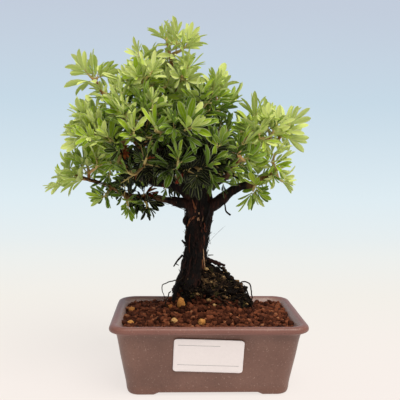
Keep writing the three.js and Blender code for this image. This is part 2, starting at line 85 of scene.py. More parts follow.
def smooth_path(points, count):
    """Centripetal Catmull-Rom curve through the points, at count even steps of its parameter."""
    p = np.asarray(points, float)
    p = np.vstack([2 * p[0] - p[1], p, 2 * p[-1] - p[-2]])
    t = np.linspace(0, len(p) - 3, count)
    k = np.minimum(t.astype(int), len(p) - 4)
    w = (t - k)[:, None]
    a, b, c, d = p[k], p[k + 1], p[k + 2], p[k + 3]
    step = [np.sqrt(np.linalg.norm(y - x, axis=1))[:, None] for x, y in ((a, b), (b, c), (c, d))]
    s, e = (
        (b - a) / step[0] - (c - a) / (step[0] + step[1]) + (c - b) / step[1],
        (c - b) / step[1] - (d - b) / (step[1] + step[2]) + (d - c) / step[2],
    )
    s, e = s * step[1], e * step[1]
    return b + s * w + (-3 * b + 3 * c - 2 * s - e) * w ** 2 + (2 * b - 2 * c + s + e) * w ** 3


def share(value, start, end):
    """How far a value is from start to end, from 0 to 1."""
    return np.clip((value - start) / (end - start), 0, 1)


def unit(v):
    """Vectors at length 1."""
    return v / np.maximum(np.linalg.norm(v, axis=-1, keepdims=True), 1e-9)


def turns(count):
    """Even steps round a circle, in radians."""
    return np.linspace(0, 2 * np.pi, count, endpoint=False)


def direction(down, turn):
    """Unit vectors at an angle down from straight up and a turn about it."""
    parts = np.sin(down) * np.cos(turn), np.sin(down) * np.sin(turn), np.cos(down)
    return np.stack(np.broadcast_arrays(*parts), -1)


def ball(rows, around, pole):
    """Directions in rings from pole to pole, the first and last ring at that angle from its pole."""
    return direction(np.linspace(pole, np.pi - pole, rows)[:, None], turns(around))


def distance(path):
    """How far along a path each of its points lies."""
    return np.concatenate([[0], np.cumsum(np.linalg.norm(np.diff(path, axis=0), axis=1))])


def taper(sizes, count):
    """Radii at count even steps along a limb, between a few that are evenly spaced."""
    return np.interp(np.linspace(0, 1, count), np.linspace(0, 1, len(sizes)), sizes)


def wander(path, apart, size, seed):
    """Smooth noise that moves a path about, with one cloud for each axis."""
    return np.stack([cloud(path + apart * axis, size, seed) for axis in range(3)], -1)


def frames(path):
    """Heading, normal and side at each point of a path; the normal is carried along without twist."""
    ahead = unit(np.gradient(path, axis=0))
    normal = np.array([1, 0.2, 0]) if abs(ahead[0] @ [1, 0.2, 0]) < 0.8 else np.array([0, 1, 0.1])
    normals = []
    for way in ahead:
        normal = unit(normal - (normal @ way) * way)
        normals.append(normal)
    normals = np.array(normals)
    return ahead, normals, np.cross(normals, ahead)


def tube(path, radii, around, relief=None):
    """A round limb: circles of the given radii across the path. relief(points, turn, run, size) gives
    what is added to the radius at each point, from its place, its turn, its distance along and the radius
    there."""
    ahead, normal, side = frames(path)
    turn = turns(around)
    out = np.cos(turn)[None, :, None] * normal[:, None] + np.sin(turn)[None, :, None] * side[:, None]
    size = np.broadcast_to(np.asarray(radii, float)[:, None], (len(path), around))
    if relief is not None:
        points = path[:, None] + out * size[..., None]
        size = size + relief(points, turn[None, :], distance(path)[:, None], size)
    return path[:, None] + out * size[..., None]


def ribbon(centre, flank, out, half, lift, sink):
    """A flat strip of four-sided rings, half wide to each flank, lifted in the middle and sunk below."""
    return np.stack([centre + flank * half[..., None], centre + out * lift,
                     centre - flank * half[..., None], centre - out * sink], -2)


def looks(shape, tone=0.0, along=0.0, across=0.0, own=0.0):
    """The four look values of a grid of points, each a number or an array that fits the grid."""
    return np.stack([np.broadcast_to(value, shape) for value in (tone, along, across, own)], -1)


def closed_faces(grids):
    """Faces of closed grids (n, rows, around, 3): quads between the rings, and a flat face on each end."""
    n, rows, around = grids.shape[:3]
    row, turn = np.arange(rows - 1)[:, None] * around, np.arange(around)[None]
    after = (turn + 1) % around
    quads = np.stack([row + turn, row + after, row + around + after, row + around + turn], -1).reshape(-1, 4)
    start = (np.arange(n) * rows * around)[:, None, None]
    ends = turn[:, ::-1], turn + (rows - 1) * around
    return [(faces[None] + start).reshape(-1, faces.shape[1]) for faces in (quads, *ends)]


def volume(points, faces):
    """Six times the signed volume inside closed faces: the sum over their triangles of a . (b x c)."""
    total = 0
    for f in faces:
        for k in range(1, f.shape[1] - 1):
            total += np.einsum("ij,ij->", points[f[:, 0]], np.cross(points[f[:, k]], points[f[:, k + 1]]))
    return total


def piece(name, chunks, finishes, nodes, flat=-1):
    """One object of the plant. Each chunk is a closed grid in millimetres, or a stack of them, the number
    of its finish, and its look values, which the finishes read. Faces of the finish whose number is flat
    keep their edges, the others are smooth."""
    points, corners, totals, kinds, values = [], [], [], [], []
    count = 0
    for grids, kind, look_values in chunks:
        place, faces = grids.reshape(-1, 3), closed_faces(grids.reshape(-1, *grids.shape[-3:]))
        if volume(place - place.mean(axis=0), faces) < 0:
            faces = [f[:, ::-1] for f in faces]
        for f in faces:
            corners.append((f + count).ravel())
            totals.append(np.full(len(f), f.shape[1]))
            kinds.append(np.full(len(f), kind))
        points.append(place)
        values.append(np.broadcast_to(np.reshape(look_values, (-1, 4)), (len(place), 4)))
        count += len(place)
    points = (np.vstack(points) + MIDDLE) / 1000
    corners, totals, kinds = (np.concatenate(x) for x in (corners, totals, kinds))
    mesh = bpy.data.meshes.new(name)
    mesh.vertices.add(len(points))
    mesh.vertices.foreach_set("co", points.ravel())
    mesh.loops.add(len(corners))
    mesh.loops.foreach_set("vertex_index", corners)
    mesh.polygons.add(len(totals))
    mesh.polygons.foreach_set("loop_start", np.concatenate([[0], np.cumsum(totals)[:-1]]))
    mesh.polygons.foreach_set("material_index", kinds)
    mesh.polygons.foreach_set("use_smooth", kinds != flat)
    mesh.update(calc_edges=True)
    layer = mesh.attributes.new("look", "FLOAT_COLOR", "POINT")
    layer.data.foreach_set("color", np.vstack(values).astype(np.float32).ravel())
    for material in finishes:
        mesh.materials.append(material)
    made = bpy.data.objects.new(name, mesh)
    scene.collection.objects.link(made)
    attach(made, "root")
    if nodes:
        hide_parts(*nodes)
    return made


# Finishes: a noise's scale is 1000 over the size of its blotches in millimetres, a bump is in metres

def tint(code):
    """sRGB hex to a linear colour with alpha."""
    value = np.array([int(code[i:i + 2], 16) / 255 for i in (1, 3, 5)])
    linear = np.where(value <= 0.04045, value / 12.92, ((value + 0.055) / 1.055) ** 2.4)
    return (*linear, 1.0)


def node(tree, kind, *inputs, stops=(), **settings):
    """Adds one node and gives its first open output. A kind in capitals is an operation of the Math node.
    Each input is a link, a number or a hex colour: inputs go to the open sockets in order, settings to
    its own properties or to the sockets of that name, and stops to its ramp."""
    if kind.isupper():
        kind, settings["operation"] = "Math", kind
    made = tree.nodes.new("ShaderNode" + kind)
    for key in [key for key in settings if hasattr(made, key)]:
        setattr(made, key, settings.pop(key))
    named = [(made.inputs[key.replace("_", " ")], value) for key, value in settings.items()]
    for socket, value in [*zip([s for s in made.inputs if s.enabled], inputs), *named]:
        if isinstance(value, bpy.types.NodeSocket):
            tree.links.new(value, socket)
        else:
            socket.default_value = tint(value) if isinstance(value, str) else value
    for _ in stops[2:]:
        made.color_ramp.elements.new(0.5)
    for k, (place, code) in enumerate(stops):
        made.color_ramp.elements[k].position = place
        made.color_ramp.elements[k].color = tint(code)
    return next(s for s in made.outputs if s.enabled)


def look(tree):
    """The four look values of a piece: tone, along, across and one of its own."""
    value = node(tree, "Attribute", attribute_name="look")
    return (*node(tree, "SeparateColor", value).node.outputs, value.node.outputs["Alpha"])


def finish(name, paint, **settings):
    """A new material. paint gives the shader's linked inputs from the tree and the object coordinates,
    and settings are constants on the shader's own sockets."""
    made = bpy.data.materials.new(name)
    made.use_nodes = True
    tree = made.node_tree
    shader = tree.nodes["Principled BSDF"]
    for key, value in settings.items():
        shader.inputs[key.replace("_", " ")].default_value = value
    for key, source in paint(tree, node(tree, "TexCoord").node.outputs["Object"]).items():
        tree.links.new(source, shader.inputs[key])
    return made


def leaf(tree, place):
    """Cinquefoil leaflet: fresh growth, half matt from its silky hairs, with no sharp gleam. Its edge is
    pale, partly from the silvery hairs and partly a painted highlight, stronger on leaves painted lighter.
    The underside is paler, and withered leaves are red brown."""
    tone, along, across, under = look(tree)
    blotch = node(tree, "TexNoise", place, 1000 / 5, 2, 0.55)
    tone = node(tree, "ADD", tone, node(tree, "MapRange", blotch, 0, 1, -0.11, 0.11))
    # The tone carries painted light and shade: lighter towards the outside and top of the crown, darker
    # inside it
    face = node(tree, "ValToRGB", tone, stops=(
        (0.0, "#040600"), (0.2, "#1a2402"), (0.45, "#58780f"), (0.7, "#9cba26"), (0.92, "#b8d04a"),
        (1.0, "#d2e084")))
    rib = node(tree, "MULTIPLY", node(tree, "LESS_THAN", across, 0.1), 0.25)
    # Painted highlight along the edge, together with the pale hairs there, brighter on leaves painted lighter
    lit = node(tree, "MapRange", tone, 0.1, 0.5, 0.1, 0.85)
    edge_hairs_and_highlight = node(tree, "MULTIPLY", node(tree, "POWER", across, 9), lit)
    back = node(tree, "ValToRGB", tone, stops=((0.0, "#121a05"), (0.5, "#76963a"), (1.0, "#bccf7c")))
    dry = node(tree, "ValToRGB", blotch, stops=((0.3, "#3a0f08"), (0.5, "#6e2412"), (0.7, "#a8602c")))
    withered = node(tree, "LESS_THAN", tone, -0.5)
    for amount, colour in ((rib, "#c6d28c"), (edge_hairs_and_highlight, "#dde6c4"), (under, back), (withered, dry)):
        face = node(tree, "Mix", amount, face, colour, data_type="RGBA")
    slant = node(tree, "MULTIPLY_ADD", along, 50, node(tree, "MULTIPLY", across, -12.5))
    veins = node(tree, "MULTIPLY_ADD", blotch, 2, node(tree, "SINE", slant))
    return {"Base Color": face, "Normal": node(tree, "Bump", 0.35, 0.00012, Height=veins)}


def twig(tree, place):
    """Young cinquefoil twig: thin bark, tan orange near the tip and red brown lower down, finely grained."""
    grain = node(tree, "TexNoise", place, 1000 / 1.2, 3, 0.55)
    value = node(tree, "ADD", look(tree)[1], node(tree, "MapRange", grain, 0, 1, -0.25, 0.25))
    colour = node(tree, "ValToRGB", value, stops=(
        (0.0, "#6a4228"), (0.4, "#a87444"), (0.7, "#c8a468"), (1.0, "#c4b870")))
    return {"Base Color": colour, "Normal": node(tree, "Bump", 0.6, 0.00015, Height=grain)}


def bark(tree, place):
    """Old cinquefoil bark: dark, fibrous, peeling in lengthwise strips that leave red brown wood behind.
    The look values are how red it is, how young the limb is and how pale a peeled place is."""
    tone, young, peeled, _ = look(tree)
    long = node(tree, "Mapping", place, Scale=(1, 1, 0.28))
    fibre = node(tree, "TexNoise", long, 1000 / 1.3, 4, 0.65)
    patch = node(tree, "TexNoise", long, 1000 / 7, 3, 0.6)
    chip = node(tree, "TexNoise", long, 1000 / 3.2, 2, 0.6)
    grain = node(tree, "TexNoise", place, 1000 / 1.6, 4, 0.7)
    colour = node(tree, "ValToRGB", node(tree, "Mix", 0.5, fibre, grain), stops=(
        (0.34, "#030201"), (0.52, "#0c0705"), (0.64, "#1e120c"), (0.8, "#4c392a")))
    red = node(tree, "ValToRGB", fibre, stops=((0.3, "#140805"), (0.55, "#32160e"), (0.75, "#653a27")))
    redder = node(tree, "MULTIPLY_ADD", tone, 0.2, patch)
    value = node(tree, "ADD", peeled, node(tree, "MapRange", fibre, 0, 1, -0.25, 0.25))
    bare = node(tree, "ValToRGB", value, stops=(
        (0.15, "#2c120a"), (0.4, "#6e3a26"), (0.65, "#96643f"), (0.9, "#c49c78")))
    value = node(tree, "ADD", fibre, node(tree, "MapRange", patch, 0, 1, -0.3, 0.3))
    tan = node(tree, "ValToRGB", value, stops=((0.3, "#5c3820"), (0.5, "#a07446"), (0.7, "#cca874")))
    for amount, over in ((node(tree, "MapRange", redder, 0.54, 0.7), red),
                         (node(tree, "MapRange", chip, 0.68, 0.74, 0, 0.7), "#8a6a4a"),
                         (node(tree, "GREATER_THAN", peeled, 0.1), bare), (young, tan)):
        colour = node(tree, "Mix", amount, colour, over, data_type="RGBA")
    height = node(tree, "MULTIPLY_ADD", grain, 0.5, fibre)
    return {"Base Color": colour, "Normal": node(tree, "Bump", 0.8, 0.0009, Height=height)}


def gritty(tree, place, pores, tone_share, pore_share, stops, strength, depth):
    """Crumbly matter: the piece's tone and a noise of (millimetres, detail), each in its share, pick the
    colour, and the noise is also the relief."""
    size, detail = pores
    pore = node(tree, "TexNoise", place, 1000 / size, detail, 0.7)
    part = node(tree, "MULTIPLY", pore, pore_share)
    value = node(tree, "MULTIPLY_ADD", look(tree)[0], tone_share, part)
    return {"Base Color": node(tree, "ValToRGB", value, stops=stops),
            "Normal": node(tree, "Bump", strength, depth, Height=pore)}


def peat(tree, place):
    """Old root mat: nearly black peat and fine roots, with damp brown crumbs and a trace of moss."""
    made = gritty(tree, place, (2.2, 4), 0.5, 0.6, (
        (0.28, "#060302"), (0.45, "#170e08"), (0.6, "#342519"), (0.74, "#664f35"), (0.86, "#ae8a58"),
        (1.0, "#dcc494")), 0.9, 0.001)
    moss = node(tree, "MapRange", node(tree, "TexNoise", place, 1000 / 4.5, 2, 0.55), 0.6, 0.7, 0, 0.5)
    return {**made, "Base Color": node(tree, "Mix", moss, made["Base Color"], "#4e481c", data_type="RGBA")}


def clay(tree, place):
    """Hard-baked bonsai clay, broken and sieved: each grain has its own red brown, matt and pitted."""
    return gritty(tree, place, (0.9, 3), 0.75, 0.3, (
        (0.1, "#1e0802"), (0.35, "#38190c"), (0.6, "#562d1c"), (0.85, "#7c452c"), (1.0, "#a67654")),
        0.7, 0.0005)


def pumice(tree, place):
    """Ochre pumice: porous volcanic stone, matt, with darker pores and rusty flecks."""
    return gritty(tree, place, (1.0, 4), 0.5, 0.6, (
        (0.15, "#5a2d10"), (0.4, "#9a5c24"), (0.65, "#c48640"), (0.95, "#e0bd84")), 0.8, 0.0008)


def stoneware(tree, place):
    """Unglazed brown stoneware: pressed, sponged and fired, so it is matt to silky, clouded in warm and
    grey brown, finely speckled, redder and smoother where the lip was wiped, and rusty at the foot. Inside
    below the rim it is painted paler: a painted reflection of the bright studio."""
    lip, foot, _, inside = look(tree)
    cloudy = node(tree, "TexNoise", place, 1000 / 34, 3, 0.5)
    fine = node(tree, "TexNoise", place, 1000 / 1.4, 3, 0.6)
    speck = node(tree, "TexNoise", place, 1000 / 1.0, 1, 0.4)
    colour = node(tree, "ValToRGB", node(tree, "Mix", 0.2, cloudy, fine), stops=(
        (0.32, "#644235"), (0.5, "#714d40"), (0.68, "#7f5a4c")))
    wiped = node(tree, "Mix", cloudy, "#6e4036", "#86594d", data_type="RGBA")
    for amount, over in ((node(tree, "MULTIPLY", foot, 0.7), "#74442e"), (lip, wiped),
                         # Inside below the rim: a paler colour, painted reflection of the bright studio
                         (inside, "#b39890"), (node(tree, "MapRange", speck, 0.66, 0.74, 0, 0.45), "#b39a8a"),
                         (node(tree, "MapRange", speck, 0.36, 0.28, 0, 0.5), "#4d372f")):
        colour = node(tree, "Mix", amount, colour, over, data_type="RGBA")
    height = node(tree, "MULTIPLY_ADD", cloudy, 2, fine)
    return {"Base Color": colour, "Roughness": node(tree, "MapRange", fine, 0, 1, 0.5, 0.64),
            "Normal": node(tree, "Bump", 0.35, 0.00025, Height=height)}


def paper(tree, place):
    """Coated paper sticker: white, smooth, with plain ruled lines where writing would go."""
    _, along, up, _ = look(tree)
    fibre = node(tree, "TexNoise", place, 1000 / 2, 3, 0.55)
    colour = node(tree, "Mix", fibre, "#efe8e7", "#f8f1f0", data_type="RGBA")
    # Each line's height, middle and half length, as shares of the sticker
    for height, middle, half in ((0.8075, 0.36, 0.3), (0.2075, 0.5, 0.44)):
        line = node(tree, "MULTIPLY", node(tree, "COMPARE", up, height, 0.0075),
                    node(tree, "COMPARE", along, middle, half))
        amount = node(tree, "MULTIPLY", line, 0.7)
        colour = node(tree, "Mix", amount, colour, "#77777a", data_type="RGBA")
    return {"Base Color": colour, "Normal": node(tree, "Bump", 0.2, 0.00005, Height=fibre)}


def net(tree, place):
    """Black polyethylene net: moulded, slightly shiny, with a faint dusting of clay."""
    dust = node(tree, "TexNoise", place, 1000 / 3, 3, 0.55)
    amount = node(tree, "MULTIPLY", dust, 0.4)
    return {"Base Color": node(tree, "Mix", amount, "#17171a", "#4a342a", data_type="RGBA"),
            "Normal": node(tree, "Bump", 0.6, 0.0001, Height=dust)}


LEAF = finish("cinquefoil_leaf", leaf, Roughness=0.55, Specular_IOR_Level=0.12, Subsurface_Weight=0.12,
              Subsurface_Radius=(0.001, 0.0014, 0.0003), Subsurface_Scale=1.0)
TWIG = finish("young_twig_bark", twig, Roughness=0.62)
BARK = finish("shredding_old_bark", bark, Roughness=0.85, Specular_IOR_Level=0.25)
PEAT = finish("matted_root_soil", peat, Roughness=0.9, Specular_IOR_Level=0.2)
CLAY = finish("baked_clay_grains", clay, Roughness=0.93, Specular_IOR_Level=0.15)
PUMICE = finish("ochre_pumice", pumice, Roughness=0.95)
STONEWARE = finish("fired_brown_stoneware", stoneware, Coat_Weight=0.35, Coat_Roughness=0.3)
PAPER = finish("coated_sticker_paper", paper, Roughness=0.42)
NET = finish("black_drainage_net", net, Roughness=0.45)


# Camera, where the picture was taken from: place in millimetres, turns in degrees, focal length in pixels

EYE = np.array([-25.0, -462.5, 174.9])
PITCH, YAW, ROLL = -4.43, -2.34, 0.62
FOCAL, FRAME_WIDTH, SENSOR = 605.6, 400, 36
camera_data = bpy.data.cameras.new("camera")
camera_data.sensor_width = SENSOR
camera_data.lens = FOCAL / FRAME_WIDTH * SENSOR
camera_data.clip_start = 0.01
camera_data.clip_end = 20
camera = bpy.data.objects.new("camera", camera_data)
turned = (Matrix.Rotation(math.radians(YAW), 3, "Z") @ Matrix.Rotation(math.radians(90 + PITCH), 3, "X")
          @ Matrix.Rotation(math.radians(ROLL), 3, "Z"))
camera.matrix_world = Matrix.Translation(Vector((EYE + MIDDLE) / 1000)) @ turned.to_4x4()
scene.collection.objects.link(camera)
scene.camera = camera


# Pot

RIM_LENGTH, RIM_DEPTH, FLOOR_TOP = 143.0, 99.0, 7.6
# Drainage holes: distance from the middle, radius
DRAIN_PLACE, DRAIN_RADIUS = 32.0, 6.0
# Corner feet: where they begin, along and across, and how far the underside rises between them
FEET_FROM, FEET_HEIGHT = np.array([36.5, 21.5]), 1.8
# The section, from under the floor up the wall, over the lip and down inside: how far in from the rim's
# outline, height, radius of the corners
POT_SECTION = [
    (40, 0, 3), (15.5, 0, 7), (13.2, 0.7, 8.3), (12.1, 3, 9.3), (11.4, 8, 9.8), (7.9, 27, 10.8),
    (4.4, 46.2, 11.6), (3.3, 47.4, 11.9), (1.3, 47.9, 12.1), (0.2, 48.9, 12.4), (0, 50.3, 12.5),
    (0.5, 51.8, 12.3), (1.9, 52.8, 11.8), (3.6, 53, 11.2), (5.3, 52.3, 10.6), (6.9, 50.4, 10.1),
    (8.1, 47.5, 9.7), (11, 33, 9), (15.5, 10.5, 8), (17, 8.3, 7), (19.5, FLOOR_TOP, 6), (40, FLOOR_TOP, 3),
]


def rounded_ring(inset, radius, around):
    """Points round a rounded rectangle: the rim's outline moved in by inset, with corners of that radius.
    Each quarter turn is a straight half side, the corner's arc and a straight half side."""
    a, b = RIM_LENGTH / 2 - inset, RIM_DEPTH / 2 - inset
    n = around // 4
    bend = (np.arange(n) + 0.5) / n
    edge = np.clip((bend - 0.3) / 0.4, 0, 1) * np.pi / 2
    before, after = np.clip(bend / 0.3, 0, 1), np.clip((bend - 0.7) / 0.3, 0, 1)
    quarters = []
    for turn in range(4):
        p, q = (a, b) if turn % 2 == 0 else (b, a)
        x = p - radius + radius * np.cos(edge) - after * (p - radius)
        y = before * (q - radius) + radius * np.sin(edge)
        c, s = round(math.cos(turn * math.pi / 2)), round(math.sin(turn * math.pi / 2))
        quarters.append(np.stack([c * x - s * y, s * x + c * y], -1))
    return np.vstack(quarters)


def profile_body(rows, around):
    """Rings of a rounded rectangle, one for each row of (inset, height, corner radius)."""
    return np.stack([
        np.column_stack([rounded_ring(inset, radius, around), np.full(around, height)])
        for inset, height, radius in rows
    ])


def make_pot():
    """The pot's walls: a smooth curve through the section's points, carried round the rim's outline. The
    whole is gently uneven, as a hand-finished pot is, and its floor is holed for drainage."""
    rows = np.array([POT_SECTION[0], *smooth_path(POT_SECTION[1:-1], 120), POT_SECTION[-1]])
    inset, z = rows[:, 0], rows[:, 1]
    grid = profile_body(rows, 176)
    feet = np.prod(share(np.abs(grid[..., :2]), FEET_FROM, FEET_FROM + 1.4), axis=-1)
    outer = np.arange(len(rows))[:, None] < 34
    grid[..., 2] += FEET_HEIGHT * (1 - feet) * share(grid[..., 2], 3.2, 0) * outer
    level = [1, 1, 0]
    flat = grid.reshape(-1, 3)
    sway = bumps(flat, 60, 3, 2) * 0.3 + bumps(flat, 16, 5, 2) * 0.07
    flat = flat + unit(flat * level) * (sway * share(flat[:, 2], 0, 6))[:, None]
    flat[:, 2] += bumps(flat * level, 48, 9, 2) * 0.22 * share(flat[:, 2], 44, 50)
    grid = flat.reshape(grid.shape)
    # Looks by row: the wiped lip, the rusty foot, and the inside below the rim painted pale as a painted
    # reflection
    lip = share(z, 46.9, 47.8) * share(inset, 9.5, 7.5)
    inside = ((np.arange(len(rows)) > np.argmax(z)) & (inset > 4.5)) * share(z, 52.9, 50.4) * 0.8
    foot = share(z, 8, 0) ** 1.5
    values = looks(grid.shape[:2], (lip * (1 - inside))[:, None], foot[:, None], 0.0, inside[:, None])
    made = piece("pot_stoneware", [(grid, 0, values)], [STONEWARE], ["pot"])
    turn = turns(40)
    for side in (-1, 1):
        x, y = side * DRAIN_PLACE + DRAIN_RADIUS * np.cos(turn), DRAIN_RADIUS * np.sin(turn)
        ring = np.stack([x, y, 0 * x], -1)
        plug = np.stack([ring - [0, 0, 5], ring + [0, 0, 12]])
        mesh = bpy.data.meshes.new("drain")
        mesh.from_pydata(((plug.reshape(-1, 3) + MIDDLE) / 1000).tolist(), [],
                         [face for part in closed_faces(plug[None]) for face in part.tolist()])
        cutter = bpy.data.objects.new("drain", mesh)
        scene.collection.objects.link(cutter)
        hole = made.modifiers.new("drain", "BOOLEAN")
        hole.object, hole.operation, hole.solver = cutter, "DIFFERENCE", "EXACT"
        bpy.context.view_layer.update()
        cut = bpy.data.meshes.new_from_object(made.evaluated_get(bpy.context.evaluated_depsgraph_get()))
        made.modifiers.clear()
        made.data = cut
        bpy.data.objects.remove(cutter)


make_pot()


# Soil: its height at the wall, and the rise about the tree
SOIL_EDGE, SOIL_RISE = 47.3, 9.4
# The root mound: its middle, and its reach to the sides, up and down
MOUND_MIDDLE = np.array([4, 17.5, 50])
MOUND_LENGTH, MOUND_DEPTH, MOUND_UP, MOUND_DOWN = 33, 19, 36, 33
# Grains: how many lie on the bed and have rolled onto the mound, how far the bed reaches across and back,
# and the steps that spread them evenly over it
BED_GRAINS, SPILT_GRAINS = 1900, 190
BED_REACH, EVEN_STEPS = (62.5, 40.5), (0.7548776662, 0.5698402910)


def soil_top(x, y):
    """Height of the soil: level at the wall, a low bell about the tree, and lumps from two sines."""
    rise = SOIL_RISE * np.exp(-(((x + 4) / 36) ** 2) - ((y - 8) / 26) ** 2)
    return SOIL_EDGE + rise + 0.45 * np.sin(0.9 * x + 0.7 * y) + 0.35 * np.sin(1.3 * y - 0.6 * x + 1)


def mound_point(way):
    """A point of the root mound in a direction: a blunt cone with the same lumps as the solid's."""
    x, y, z = way[..., 0], way[..., 1], way[..., 2]
    lump = 1 + 0.05 * np.sin(7 * x + 3 * z) + 0.05 * np.sin(8 * y - 5 * x + 2) + 0.03 * np.sin(15 * z)
    lump = lump * np.sum(np.abs(way) ** 1.5, -1) ** (-2 / 3)
    reach = np.stack([MOUND_LENGTH * x, MOUND_DEPTH * y, np.where(z > 0, MOUND_UP, MOUND_DOWN) * z], -1)
    return MOUND_MIDDLE + reach * lump[..., None]


def make_soil():
    """The bed below the grains: the fill of the pot, its rough dark top in rings that shrink inwards."""
    floor = FLOOR_TOP + 2.3
    rows = [(40, floor, 3), (19.3, floor, 5.6), (16.2, 12, 7.6), (9.2, 45, 9.2), (8.8, 46.6, 9.2)]
    sides = profile_body(rows, 160)
    tops = []
    for shrink in np.linspace(0.985, 0.02, 60):
        ring = sides[-1] * [shrink, shrink, 1]
        ring[:, 2] = soil_top(ring[:, 0], ring[:, 1]) - 1.6 + bumps(ring, 3, 2, 3) * 0.9
        tops.append(ring)
    piece("soil_bed", [(np.concatenate([sides, tops]), 0, (0.15, 0, 0, 0))], [CLAY], ["soil"])


def pebbles(places, sizes, seed, rough, around=6, rows=5, tilt=0.35):
    """Crumbs: squat round grids of uneven radius, each turned its own way about z and tilted about x."""
    n = len(places)
    k = np.arange(n)
    way = ball(rows, around, 0.16)
    spots = way[None] * 1.7 + (scatter(k, seed)[:, None, None, None] * 97)
    lump = 1 + rough * 1.6 * cloud(spots.reshape(-1, 3), 1.0, seed).reshape(n, rows, around)
    grids = way[None] * lump[..., None] * sizes[:, None, None, :] / 2
    turn, lean = 2 * np.pi * scatter(k, seed + 1), 2 * np.pi * scatter(k, seed + 2) * tilt
    zero, one = np.zeros(n), np.ones(n)
    c, s = np.cos(turn), np.sin(turn)
    about_z = np.array([[c, -s, zero], [s, c, zero], [zero, zero, one]])
    c, s = np.cos(lean), np.sin(lean)
    about_x = np.array([[one, zero, zero], [zero, c, -s], [zero, s, c]])
    return np.einsum("ijn,jkn,nrak->nrai", about_z, about_x, grids) + places[:, None, None, :]


# Loose stones: place across and back, length, width, height, tone from rusty to pale
STONES = [
    (-59, 13, 5.8, 5, 5, 0.55), (-57.5, -19, 5.8, 5, 4.4, 0.75), (-19.8, 1.5, 6.2, 6, 8.6, 0.6),
    (-28, 5, 4, 4, 4.6, 0.15), (-25.2, -21.5, 6, 5, 4.4, 0.95), (-4.7, -23.5, 6, 5.5, 5.2, 0.7),
]


def make_grains():
    """Clay grains of about 3 to 6 mm, spread evenly over the bed but for the mound and the stones, and
    some that have rolled onto the foot of the mound. Each grain is painted lighter towards its top and
    darker towards its foot: painted light, and painted shade in the gaps between the grains."""
    i = np.arange(BED_GRAINS)
    x, y = ((2 * np.mod(i * step + 0.5, 1) - 1) * reach for step, reach in zip(EVEN_STEPS, BED_REACH))
    size = 3.0 + 3.4 * scatter(i, 4) ** 1.5
    # Inside the rounded corners of the wall, outside the foot of the mound, and clear of the stones
    keep = np.hypot(np.maximum(np.abs(x) - 54, 0), np.maximum(np.abs(y) - 32, 0)) < 9
    keep &= (np.abs(x - MOUND_MIDDLE[0]) / 31) ** 1.5 + (np.abs(y - MOUND_MIDDLE[1]) / 17) ** 1.5 > 1
    for stone_x, stone_y, length, width, *_ in STONES:
        keep &= np.hypot(x - stone_x, y - stone_y) > (length + width) / 4 + 0.4
    x, y, size = x[keep], y[keep], size[keep]
    i = np.arange(len(x))
    z = soil_top(x, y) - 1.5 + 2.9 * scatter(i, 8) - 0.3 * (size - 3) + 1.2 * share(y, 0, 40)
    i = np.arange(SPILT_GRAINS)
    turn = np.pi * (0.98 + 0.8 * scatter(i, 61))
    up = (0.1 + 0.42 * scatter(i, 62)) * np.clip(1.25 - 0.9 * (turn / np.pi - 0.98), 0.3, 1)
    places = np.vstack([np.stack([x, y, z], -1), mound_point(direction(np.pi / 2 - up, turn))])
    size = np.concatenate([size, 2.6 + 2.2 * scatter(i, 63)])
    i = np.arange(len(size))
    shares = 0.85 + 0.4 * scatter(i, 5), 0.85 + 0.3 * scatter(i, 6), 0.65 + 0.3 * scatter(i, 7)
    sizes = size[:, None] * np.stack(shares, -1)
    grids = pebbles(places, sizes, 11, 0.34)
    tone = np.where(scatter(i, 10) > 0.93, 1.0, 0.15 + 0.75 * scatter(i, 9))
    # Painted light and shade: each grain lighter towards its top, darker towards its foot
    painted_top_light = np.clip((grids[..., 2] - places[:, 2, None, None]) / sizes[:, 2, None, None] * 2, -1, 1)
    values = looks(grids.shape[:3], 0.9 * tone[:, None, None] + 0.34 * painted_top_light - 0.2)
    piece("clay_grains", [(grids, 0, values)], [CLAY], (), flat=0)


def make_stones():
    """The larger loose stones, one piece each, ochre, darker or pale."""
    for k, (x, y, length, width, height, tone) in enumerate(STONES):
        place = np.array([[x, y, soil_top(x, y) + height * 0.32]])
        grids = pebbles(place, np.array([[length, width, height]]) * 0.97, 40 + k, 0.16, 24, 16, 0.03)
        piece(f"pumice_stone_{k + 1}", [(grids, 0, (tone, 0, 0, 0))], [PUMICE], [f"pumice_{k + 1}"])


make_soil()
make_grains()
make_stones()
for net_name in ("drain_mesh_left", "drain_mesh_right"):
    net_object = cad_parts[net_name]
    net_object.data.materials.clear()
    net_object.data.materials.append(NET)


# Sticker: length, height, corner radius and thickness, its middle across and up, its turn in degrees

STICKER_LENGTH, STICKER_HEIGHT, STICKER_CORNER, STICKER_THICKNESS = 50.0, 25.4, 2.2, 0.22
STICKER_X, STICKER_Z, STICKER_TURN = -0.6, 31.4, -2.1


